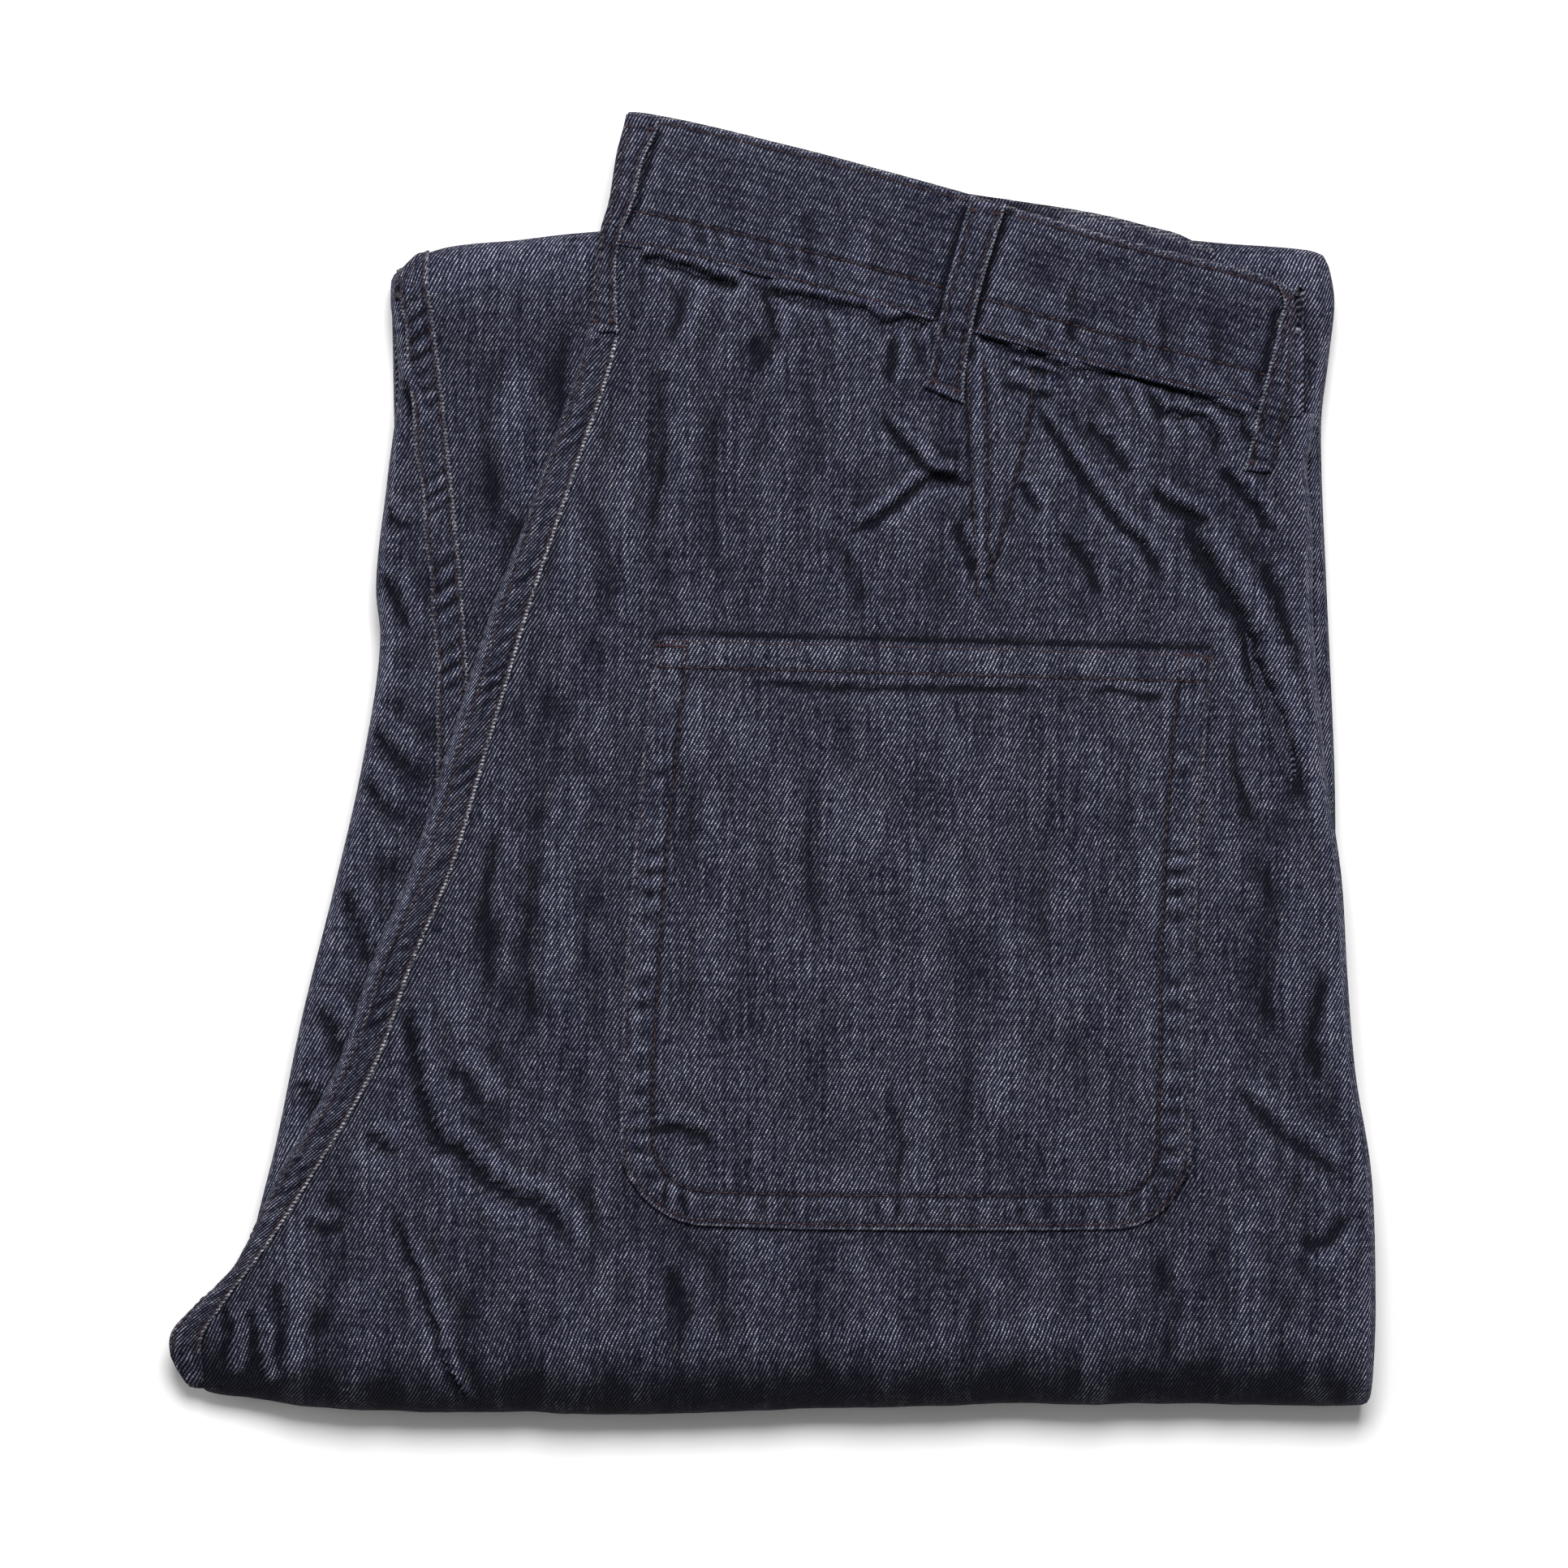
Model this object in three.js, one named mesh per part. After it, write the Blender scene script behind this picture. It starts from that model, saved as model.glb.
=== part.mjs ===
// Sailor trousers folded flat: one leg on the other, then in three below the seat, with the right back up.
// Millimetres, +Z up. X runs across the pack and Y from the fold under the seat (-Y) to the waistband (+Y).
// The origin is on the surface that the pack lies on, under the middle of its outline.
import * as THREE from "three";

// Driving sizes.
const clothWall = 1.2; // one panel
const seamGap = 0.3; // between two pieces that meet
const packHeight = 26; // surface to seat panel
const legsHeight = 14; // surface to the top of the folded legs
const seatFoldRadius = packHeight / 2; // the fold under the seat
const kneeFoldRadius = legsHeight / 2; // the fold at the knee
const hemLine = -158; // the hem of the legs, under the pack
const waistbandHeight = 40.5;
const waistbandWall = 2.2; // two plies and their turnings
const seamWidth = 9; // a flat-felled seam
const seamWall = 1;
const loopWall = 1.5;
const pocketWall = 1.2;
const pocketHemWall = 2; // the folded mouth of the pocket
const sideRoll = 4; // how far the seat panel rolls down at its side fold
const legRoll = 3; // the same for a leg
const colours = {
  denim: new THREE.Color(0.04, 0.038, 0.056),
  band: new THREE.Color(0.047, 0.045, 0.062),
  pocket: new THREE.Color(0.052, 0.05, 0.068),
};

// Edges of the pack seen from above, a row for each bend.
const seatSeam = [
  { y: 201, x: -35 },
  { y: 160, x: -45 },
  { y: 128, x: -48.5 },
  { y: 92, x: -60 },
  { y: 52, x: -73.5 },
  { y: 6, x: -87.3 },
  { y: -33, x: -99 },
  { y: -60, x: -110.3 },
  { y: -93, x: -122.3 },
  { y: -124, x: -140 },
  { y: -156, x: -161.5 },
  { y: -175, x: -178 },
  { y: -190, x: -180 },
  { y: -202, x: -180 },
];
const sideFold = [
  { y: 152, x: 164 },
  { y: 108, x: 166 },
  { y: 92, x: 165 },
  { y: 64, x: 166.5 },
  { y: 29, x: 168 },
  { y: -5, x: 171 },
  { y: -35, x: 175.5 },
  { y: -65, x: 177.3 },
  { y: -95, x: 179.8 },
  { y: -125, x: 184.6 },
  { y: -160, x: 186 },
  { y: -202, x: 185.4 },
];
const waistSeam = [
  { x: -60, y: 161.5 },
  { x: -45, y: 160.4 },
  { x: -2, y: 151 },
  { x: 50, y: 137.4 },
  { x: 106, y: 121.6 },
  { x: 135, y: 114.4 },
  { x: 160, y: 108 },
];
// How far the seat rolls out past its seam before it turns under, by level.
const seatRoll = [
  { y: 201, x: 9 },
  { y: 150, x: 9 },
  { y: 128, x: 9.5 },
  { y: -115, x: 11 },
  { y: -135, x: 9 },
  { y: -156, x: 4.5 },
  { y: -170, x: 8 },
  { y: -180, x: 8 },
  { y: -202, x: 1 },
];
const seatFoldFront = [
  { x: -190, y: -188 },
  { x: -176, y: -194 },
  { x: -160, y: -196.5 },
  { x: -142, y: -199 },
  { x: -88, y: -200.4 },
  { x: -38, y: -201 },
  { x: 12, y: -199.6 },
  { x: 62, y: -198.2 },
  { x: 112, y: -197.4 },
  { x: 152, y: -198.6 },
  { x: 190, y: -198 },
];
const legLeftEdge = [
  { y: 152, x: -118 },
  { y: 126, x: -115.5 },
  { y: 95, x: -118.8 },
  { y: 60, x: -122.3 },
  { y: 45, x: -121 },
  { y: 5, x: -126.5 },
  { y: -35, x: -135.3 },
  { y: -75, x: -145 },
  { y: -115, x: -153 },
  { y: -150, x: -161 },
  { y: -200, x: -166 },
];
const legRightEdge = [
  { y: 158, x: 171.5 },
  { y: 150, x: 174 },
  { y: 130, x: 172.6 },
  { y: 110, x: 170.2 },
  { y: 94, x: 170.2 },
  { y: 60, x: 171.6 },
  { y: 0, x: 174.2 },
  { y: -60, x: 175.4 },
  { y: -120, x: 182 },
  { y: -200, x: 183 },
];
const inseam = [
  { y: 165, x: -110.5 },
  { y: 158, x: -108.8 },
  { y: 145, x: -106 },
  { y: 119, x: -102.5 },
  { y: 94, x: -99.8 },
  { y: 54, x: -96 },
  { y: 10, x: -93.8 },
  { y: -60, x: -98 },
  { y: -200, x: -120 },
];
const kneeFoldFront = [
  { x: -125, y: 151 },
  { x: -116, y: 152.5 },
  { x: -109, y: 157.4 },
  { x: -78, y: 162.5 },
  { x: -52, y: 165.4 },
  { x: 40, y: 165.8 },
  { x: 132, y: 162.2 },
  { x: 172, y: 158 },
  { x: 180, y: 156 },
];
// The largest folds of the seat panel: soft ridges from one point to another.
const seatFolds = [
  { x1: 80, y1: 102, x2: 122, y2: 60, width: 16, height: 1.6 },
  { x1: 96, y1: 92, x2: 148, y2: 22, width: 18, height: 1.8 },
  { x1: 128, y1: 72, x2: 172, y2: -16, width: 20, height: 2.4 },
  { x1: 18, y1: 118, x2: 52, y2: 92, width: 16, height: 1.5 },
  { x1: 14, y1: 60, x2: 54, y2: 94, width: 18, height: 1.6 },
  { x1: -22, y1: 138, x2: -10, y2: 96, width: 18, height: 1.2 },
  { x1: -52, y1: 50, x2: -62, y2: -70, width: 22, height: 1.5 },
  { x1: -108, y1: -90, x2: -72, y2: -140, width: 22, height: 1.8 },
  { x1: -118, y1: -138, x2: -94, y2: -188, width: 20, height: 1.5 },
  { x1: 160, y1: -70, x2: 152, y2: -150, width: 24, height: 1.3 },
];

const { clamp, lerp, smoothstep } = THREE.MathUtils;

// A smooth curve through a table: the value of one column where another has the value `at`.
function along(table, from, to, at) {
  const up = table[0][from] < table[table.length - 1][from];
  const rows = up ? table : [...table].reverse();
  let i = 0;
  while (i < rows.length - 2 && rows[i + 1][from] < at) i += 1;
  const [a, b] = [rows[i], rows[i + 1]];
  const f = clamp((at - a[from]) / (b[from] - a[from]), 0, 1);
  const slope = (p, q) => (q[to] - p[to]) / (q[from] - p[from]);
  const own = slope(a, b);
  const before = i > 0 ? (slope(rows[i - 1], a) + own) / 2 : own;
  const after = i < rows.length - 2 ? (own + slope(b, rows[i + 2])) / 2 : own;
  const span = b[from] - a[from];
  const f2 = f * f;
  const f3 = f2 * f;
  return (
    (2 * f3 - 3 * f2 + 1) * a[to] +
    (f3 - 2 * f2 + f) * span * before +
    (3 * f2 - 2 * f3) * b[to] +
    (f3 - f2) * span * after
  );
}
const xAt = (table, y) => along(table, "y", "x", y);
const yAt = (table, x) => along(table, "x", "y", x);
const seatEdge = (y) => xAt(seatSeam, y) - xAt(seatRoll, y);

// Every piece is made flat and level, then settles: the pack is crowned, its waist end droops past the legs
// and the crotch point lies low. Heights keep their order, so pieces stay clear of each other.
const crownHeight = 3;
const crownCentre = { x: 20, y: -30 };
const crownReach = { x: 190, y: 185 };
const droop = { from: 150, over: 51, by: 8 };
const lowTip = { x: -130, y: -140, over: 55, share: 0.4 };
function settle(p) {
  const level = clamp(p.z / packHeight, 0, 1.2);
  const cx = (p.x - crownCentre.x) / crownReach.x;
  const cy = (p.y - crownCentre.y) / crownReach.y;
  const crown = crownHeight * Math.max(0, 1 - cx * cx) * Math.max(0, 1 - cy * cy);
  const past = Math.max(0, (p.y - droop.from) / droop.over);
  const falls = droop.by * past * past * smoothstep(p.z, legsHeight - 1, legsHeight + 1);
  const tip =
    smoothstep(lowTip.x - p.x, 0, lowTip.over) * smoothstep(lowTip.y - p.y, 0, lowTip.over);
  return new THREE.Vector3(p.x, p.y, p.z * (1 - lowTip.share * tip) + crown * level - falls);
}

// The folds die out before they reach the patch pocket.
const pocketBox = { left: -46, right: 136, foot: -143, mouth: 39 };
function seatRelief(x, y) {
  let height = 0;
  for (const fold of seatFolds) {
    const [dx, dy] = [fold.x2 - fold.x1, fold.y2 - fold.y1];
    const long = Math.hypot(dx, dy);
    const t = ((x - fold.x1) * dx + (y - fold.y1) * dy) / (long * long);
    const off = ((x - fold.x1) * dy - (y - fold.y1) * dx) / long;
    const ends = smoothstep(t, -0.25, 0.3) * (1 - smoothstep(t, 0.7, 1.25));
    const across = Math.exp(-((off / (fold.width / 2)) ** 2));
    height = Math.max(height, fold.height * ends * across);
  }
  const outX = Math.max(pocketBox.left - x, x - pocketBox.right, 0);
  const outY = Math.max(pocketBox.foot - y, y - pocketBox.mouth, 0);
  return height * smoothstep(Math.hypot(outX, outY), 11, 24);
}

// A mesh from rings or rows of points, as one closed body with its faces pointing out.
function closedBody(points, faces) {
  let volume = 0;
  for (const [a, b, c] of faces) {
    volume += points[a].dot(new THREE.Vector3().crossVectors(points[b], points[c]));
  }
  const turned = volume < 0 ? faces.map(([a, b, c]) => [a, c, b]) : faces;
  const geometry = new THREE.BufferGeometry().setFromPoints(points);
  geometry.setIndex(turned.flat());
  geometry.computeVertexNormals();
  return geometry;
}

// A cloth wall: `grid` holds rows of points on its outer face, and the wall lies on the other side of it.
function wall(grid, thickness, inward) {
  const rows = grid.length;
  const columns = grid[0].length;
  const thick = typeof thickness === "function" ? thickness : () => thickness;
  const at = (j, i) => grid[clamp(j, 0, rows - 1)][clamp(i, 0, columns - 1)];
  const outer = [];
  const inner = [];
  for (let j = 0; j < rows; j += 1) {
    for (let i = 0; i < columns; i += 1) {
      const down = new THREE.Vector3().subVectors(at(j + 1, i), at(j - 1, i));
      const over = new THREE.Vector3().subVectors(at(j, i + 1), at(j, i - 1));
      const normal = new THREE.Vector3().crossVectors(down, over).normalize();
      const into = normal.multiplyScalar(inward * thick(j, i));
      outer.push(settle(grid[j][i]));
      inner.push(settle(new THREE.Vector3().addVectors(grid[j][i], into)));
    }
  }
  const points = [...outer, ...inner];
  const back = outer.length;
  const id = (j, i) => j * columns + i;
  const faces = [];
  const quad = (a, b, c, d) => faces.push([a, b, c], [a, c, d]);
  for (let j = 0; j < rows - 1; j += 1) {
    for (let i = 0; i < columns - 1; i += 1) {
      quad(id(j, i), id(j, i + 1), id(j + 1, i + 1), id(j + 1, i));
      quad(back + id(j, i), back + id(j + 1, i), back + id(j + 1, i + 1), back + id(j, i + 1));
    }
  }
  for (let j = 0; j < rows - 1; j += 1) {
    for (const i of [0, columns - 1]) {
      const [a, b] = i ? [id(j, i), id(j + 1, i)] : [id(j + 1, i), id(j, i)];
      quad(a, a + back, b + back, b);
    }
  }
  for (let i = 0; i < columns - 1; i += 1) {
    for (const j of [0, rows - 1]) {
      const [a, b] = j ? [id(j, i + 1), id(j, i)] : [id(j, i), id(j, i + 1)];
      quad(a, a + back, b + back, b);
    }
  }
  return closedBody(points, faces);
}

const group = new THREE.Group();
function add(name, geometry, color) {
  const material = new THREE.MeshStandardMaterial({ color, roughness: 0.9, metalness: 0 });
  const mesh = new THREE.Mesh(geometry, material);
  mesh.name = name;
  group.add(mesh);
}

const steps = (n, make) => Array.from({ length: n + 1 }, (_, i) => make(i / n));

// The path round a fold, by its length past the start: how far on it is, its height and which way is out.
function roundFold(past, radius, height) {
  const turn = clamp(past / radius, 0, Math.PI);
  const run = past < 0 ? past : Math.max(0, past - Math.PI * radius);
  return {
    forward: radius * Math.sin(turn) + (past < 0 ? run : -run),
    z: height - radius + radius * Math.cos(turn),
    out: { y: Math.sin(turn), z: Math.cos(turn) },
  };
}

// The right back panel: from the waist seam down the seat, round the fold and under the pack, where it ends
// over the hem. Its side edge rolls down over the last part of its width.
const seatPanel = {
  waist: { left: 160.4, right: 108.4 }, // Y of its upper corners
  fold: { left: -178, right: 185.4 }, // X of its edges at the start of the fold
  tucked: { left: -168, right: 183.5 }, // the same at the end of the fold
  tuck: { length: 26, narrows: 6, lift: 2.6 },
  rollFrom: 0.962, // share of the width where the roll starts
};
function backRight() {
  const flatRows = 25;
  const foldRows = 8;
  const tuckRows = 2;
  const { waist, fold, tucked, tuck, rollFrom } = seatPanel;
  const columns = [...steps(17, (u) => u * rollFrom), 0.98, 1];
  const rollAt = (u) => sideRoll * clamp((u - rollFrom) / (1 - rollFrom), 0, 1) ** 2.2;
  const foldStart = (x) => yAt(seatFoldFront, x) + seatFoldRadius;
  const grid = [];
  for (let j = 0; j <= flatRows; j += 1) {
    const t = j / flatRows;
    const leftY = lerp(waist.left, foldStart(fold.left), t);
    const rightY = lerp(waist.right, foldStart(fold.right), t);
    const leftX = xAt(seatSeam, leftY);
    const rightX = xAt(sideFold, rightY);
    grid.push(
      columns.map((u) => {
        const x = lerp(leftX, rightX, u);
        const waistBow = yAt(waistSeam, x) - lerp(waist.left, waist.right, u);
        const foldBow = foldStart(x) - lerp(foldStart(fold.left), foldStart(fold.right), u);
        const y = lerp(leftY, rightY, u) + waistBow * (1 - t) ** 4 + foldBow * t ** 4;
        const relief = seatRelief(x, y) * smoothstep(t, 0.02, 0.1);
        return new THREE.Vector3(x, y, packHeight + relief - rollAt(u));
      }),
    );
  }
  const halfTurn = Math.PI * seatFoldRadius;
  const pastRows = [
    ...steps(foldRows, (f) => f * halfTurn).slice(1),
    ...steps(tuckRows, (f) => halfTurn + f * tuck.length).slice(1),
  ];
  for (const past of pastRows) {
    const path = roundFold(past, seatFoldRadius, packHeight);
    const round = clamp(past / halfTurn, 0, 1);
    const under = clamp((past - halfTurn) / tuck.length, 0, 1);
    const leftX = lerp(fold.left, tucked.left, round) + tuck.narrows * under;
    const rightX = lerp(fold.right, tucked.right, under);
    grid.push(
      columns.map((u) => {
        const x = lerp(leftX, rightX, u);
        const roll = rollAt(u) * (1 - smoothstep(round, 0.6, 1));
        const y = foldStart(x) - path.forward + path.out.y * roll;
        const z = path.z - path.out.z * roll + tuck.lift * smoothstep(under, 0.35, 1);
        return new THREE.Vector3(x, y, z);
      }),
    );
  }
  return wall(grid, clothWall, -1);
}

// The left back panel, rolled round the edge of the seat beside the seat seam.
function backLeft() {
  const floor = legsHeight + seamGap + 0.2;
  const middle = (packHeight + floor) / 2;
  const ends = { upper: 159.5, lower: -179 };
  const grid = steps(30, (t) => {
    const y = lerp(ends.upper, ends.lower, t);
    const seam = xAt(seatSeam, y) - seamGap - 0.2;
    const edge = seatEdge(y);
    const over = seam - edge;
    const section = [
      { x: edge + Math.min(over, 6) + 1, z: floor },
      { x: edge + 1.6, z: floor + 1 },
      { x: edge, z: middle - 2 },
      { x: edge, z: middle + 2 },
      { x: edge + Math.min(1.6, over * 0.4), z: packHeight - 1 },
      { x: edge + over * 0.55, z: packHeight - 0.2 },
      { x: seam, z: packHeight },
    ];
    return section.map(({ x, z }) => new THREE.Vector3(x, y, z));
  });
  return wall(grid, clothWall, -1);
}

// A flat-felled seam: a narrow strip on top of the panel, beside its stitched edge.
function felledStrip(edgeTable, from, to, height, width, rows) {
  const grid = steps(rows, (t) => {
    const y = lerp(from, to, t);
    const edge = xAt(edgeTable, y);
    return [0, 0.5, 1].map(
      (f) => new THREE.Vector3(edge - 0.4 - width(y) * (1 - f), y, height + seamGap + seamWall),
    );
  });
  return wall(grid, seamWall, -1);
}

// A panel of the left leg, from under the seat round the knee fold and back below the pack to its hem.
// `rolls` says how far it rolls down at its left and right edges.
function legPanel({ left, right, under, shares, rolls }) {
  const upperEnd = -150;
  const below = 150 - hemLine;
  const halfTurn = Math.PI * kneeFoldRadius;
  const rollAt = (u) =>
    rolls.left * clamp(1 - u / rolls.over, 0, 1) ** 2 +
    rolls.right * clamp(1 - (1 - u) / rolls.over, 0, 1) ** 2;
  const grid = [];
  for (const t of steps(10, (f) => f)) {
    grid.push(
      shares.map((u) => {
        const level = lerp(upperEnd, 150, t);
        const x = lerp(left(level), right(level), u);
        const y = lerp(upperEnd, yAt(kneeFoldFront, x) - kneeFoldRadius, t);
        return new THREE.Vector3(x, y, legsHeight - rollAt(u));
      }),
    );
  }
  const pastRows = [
    ...steps(7, (f) => f * halfTurn).slice(1),
    ...steps(5, (f) => halfTurn + f * below).slice(1),
  ];
  for (const past of pastRows) {
    const path = roundFold(past, kneeFoldRadius, legsHeight);
    const round = clamp(past / halfTurn, 0, 1);
    const back = clamp((past - halfTurn) / below, 0, 1);
    const leftX = lerp(lerp(left(150), under.left, round), under.leftHem, back);
    const rightX = lerp(lerp(right(150), under.right, round), under.rightHem, back);
    grid.push(
      shares.map((u) => {
        const x = lerp(leftX, rightX, u);
        const start = lerp(yAt(kneeFoldFront, x), 158, back) - kneeFoldRadius;
        const roll = rollAt(u) * (1 - smoothstep(round, 0.4, 1));
        const y = start + path.forward - path.out.y * roll;
        return new THREE.Vector3(x, y, path.z - path.out.z * roll);
      }),
    );
  }
  return wall(grid, clothWall, 1);
}
function legLeftBack() {
  return legPanel({
    left: (y) => xAt(inseam, y),
    right: (y) => xAt(legRightEdge, y),
    under: { left: -110, leftHem: -104, right: 170, rightHem: 162 },
    shares: [...steps(9, (u) => u * 0.965), 0.982, 1],
    rolls: { left: 0, right: legRoll, over: 0.035 },
  });
}
function legLeftFront() {
  return legPanel({
    left: (y) => xAt(legLeftEdge, y),
    right: (y) => xAt(inseam, y) - 0.5,
    under: { left: -118, leftHem: -112, right: -110.5, rightHem: -104.5 },
    shares: [0, 0.1, 0.25, 0.6, 1],
    rolls: { left: legRoll, right: 0, over: 0.25 },
  });
}

// The hidden layers of a stack: one rounded solid, with a lip for each folded layer along its sides.
// Both caps are dished a little, clear of the panels above and below.
const capRings = [
  { share: 0.06, dish: 1.2 },
  { share: 0.35, dish: 2 },
  { share: 0.7, dish: 2 },
];
const lipProfile = [
  { share: 0.03, inset: 1.5 },
  { share: 0.5, inset: 0.2 },
  { share: 0.97, inset: 1.5 },
];
function layeredStack({ bottom, top, lips, left, right, front, back }) {
  const lipHeight = (top - bottom) / lips.length;
  const sideSteps = 15;
  const endSteps = 12;
  const [nearLevel, farLevel] = [-185, 148];
  const ring = (z, inset, lip) => {
    const uneven = (y, side) => 0.9 * (1 + Math.sin(y / 31 + lip * 2.1 + side * 1.7));
    const leftAt = (y) => left(y) + inset + lips[lip].left + uneven(y, 0);
    const rightAt = (y) => right(y) - inset - lips[lip].right - uneven(y, 1);
    const [nearY, farY] = [(x) => front(z, x), (x) => back(z, x)];
    const nearCorner = { right: right(nearLevel), left: left(nearLevel) };
    const farCorner = { right: right(farLevel), left: left(farLevel) };
    const points = [];
    for (const t of steps(sideSteps, (f) => f)) {
      const y = lerp(nearY(nearCorner.right), farY(farCorner.right), t);
      points.push(new THREE.Vector3(rightAt(y), y, z));
    }
    const farX = { from: points[sideSteps].x, to: leftAt(farY(farCorner.left)) };
    for (const f of steps(endSteps, (g) => g).slice(1, -1)) {
      const x = lerp(farX.from, farX.to, f);
      points.push(new THREE.Vector3(x, farY(x), z));
    }
    for (const t of steps(sideSteps, (f) => f)) {
      const y = lerp(farY(farCorner.left), nearY(nearCorner.left), t);
      points.push(new THREE.Vector3(leftAt(y), y, z));
    }
    const nearX = { from: leftAt(nearY(nearCorner.left)), to: points[0].x };
    for (const f of steps(endSteps, (g) => g).slice(1, -1)) {
      const x = lerp(nearX.from, nearX.to, f);
      points.push(new THREE.Vector3(x, nearY(x), z));
    }
    return points;
  };
  const sides = lips.flatMap((_, lip) =>
    lipProfile.map(({ share, inset }) => ring(bottom + (lip + share) * lipHeight, inset, lip)),
  );
  const middle = new THREE.Vector3((left(0) + right(0)) / 2, -10, 0);
  const capRing = (rim, dish) =>
    rim.map((p) => new THREE.Vector3(
      lerp(p.x, middle.x, dish.share),
      lerp(p.y, middle.y, dish.share),
      p.z + dish.by,
    ));
  const lowCap = capRings.map(({ share, dish }) => capRing(sides[0], { share, by: dish }));
  const highRim = sides[sides.length - 1];
  const highCap = capRings.map(({ share, dish }) => capRing(highRim, { share, by: -dish }));
  const rings = [...lowCap.reverse(), ...sides, ...highCap];
  const n = rings[0].length;
  const points = rings.flat();
  const [lowCentre, highCentre] = [points.length, points.length + 1];
  const deepest = capRings[capRings.length - 1].dish;
  points.push(new THREE.Vector3(middle.x, middle.y, sides[0][0].z + deepest));
  points.push(new THREE.Vector3(middle.x, middle.y, highRim[0].z - deepest));
  const faces = [];
  for (let k = 0; k < rings.length - 1; k += 1) {
    for (let i = 0; i < n; i += 1) {
      const [a, b] = [k * n + i, k * n + ((i + 1) % n)];
      faces.push([a, b, b + n], [a, b + n, a + n]);
    }
  }
  const lastRing = (rings.length - 1) * n;
  for (let i = 0; i < n; i += 1) {
    const next = (i + 1) % n;
    faces.push([lastRing + i, lastRing + next, highCentre]);
    faces.push([next, i, lowCentre]);
  }
  return closedBody(points.map(settle), faces);
}

// How far in from its outer face a fold is filled at height z.
function insideFold(radius, z) {
  const clear = radius - clothWall - seamGap - 0.8;
  const up = clamp(z - radius, -clear, clear);
  return radius - Math.sqrt(clear * clear - up * up);
}

// The filling stands further back from a fold toward its two ends, where the panel rolls in.
function insideSeatFold(z, x) {
  const rolled = 5 * smoothstep(x, 158, 174) + 8 * smoothstep(-x, 115, 155);
  return yAt(seatFoldFront, x) + insideFold(seatFoldRadius, z) + 0.4 + rolled;
}
function insideKneeFold(z, x) {
  const rolled = 4 * smoothstep(x, 150, 168) + 4 * smoothstep(-x, 95, 110);
  return yAt(kneeFoldFront, x) - insideFold(kneeFoldRadius, z) - 0.4 - rolled;
}
function hiddenSeatLayers() {
  return layeredStack({
    bottom: legsHeight + seamGap + 0.2,
    top: packHeight - clothWall - seamGap,
    lips: [
      { left: 9, right: 1 },
      { left: 1.5, right: 0.5 },
      { left: 1.5, right: 1 },
      { left: 4, right: 12 },
    ],
    left: (y) => seatEdge(y) + clothWall + seamGap + 7 * smoothstep(-y, 105, 150),
    right: (y) => xAt(sideFold, y) - 1,
    front: insideSeatFold,
    back: (z, x) => yAt(waistSeam, x) - 1.5,
  });
}

function hiddenLegLayers() {
  const tuckTop = 4.25;
  return layeredStack({
    bottom: clothWall + seamGap,
    top: legsHeight - clothWall - seamGap,
    lips: [
      { left: 2, right: 3 },
      { left: 0.6, right: 0.5 },
      { left: 1.4, right: 1 },
      { left: 9, right: 12 },
    ],
    left: (y) => xAt(legLeftEdge, y),
    right: (y) => xAt(legRightEdge, y) - 1,
    front: (z, x) => (z < tuckTop ? hemLine + 5 : insideSeatFold(z, x)),
    back: insideKneeFold,
  });
}

// One thickness of the waistband, standing on the waist seam. Its left end leans to the right, and it grows
// by `flare` toward its right end and rolls down there at the side fold.
const bandLean = -7;
const bandShear = 0.35;
function waistband({ top, startX, endX, height, flare, roll }) {
  const grid = steps(3, (v) =>
    steps(22, (u) => {
      const x = lerp(startX, endX, u);
      const slope = Math.atan2(yAt(waistSeam, x + 1) - yAt(waistSeam, x - 1), 2);
      const up = v * (height + flare * u) + seamGap;
      const shear = bandShear * Math.sin(slope) * up + bandLean * v * (1 - u);
      return new THREE.Vector3(
        x - shear,
        yAt(waistSeam, x) + Math.cos(slope) * up,
        top - roll * clamp((u - 0.96) / 0.04, 0, 1) ** 2,
      );
    }),
  );
  return wall(grid, waistbandWall, 1);
}

// A belt loop: a narrow strip from the waistband's top edge to below the waist seam, arched a little.
const bandTop = packHeight + 1.1;
const loopArch = 0.6;
function beltLoop({ topX, topY, endX, endY, width }) {
  const grid = steps(8, (t) => {
    const [x, y] = [lerp(topX, endX, t), lerp(topY, endY, t)];
    const onBand = smoothstep(y - yAt(waistSeam, x), -4, 3);
    const under = lerp(packHeight, bandTop, onBand);
    const z = under + seamGap + loopWall + 0.1 + loopArch * Math.sin(Math.PI * t);
    return [-0.5, 0.5].map((side) => new THREE.Vector3(x + side * width, y, z));
  });
  return wall(grid, loopWall, -1);
}

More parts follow.
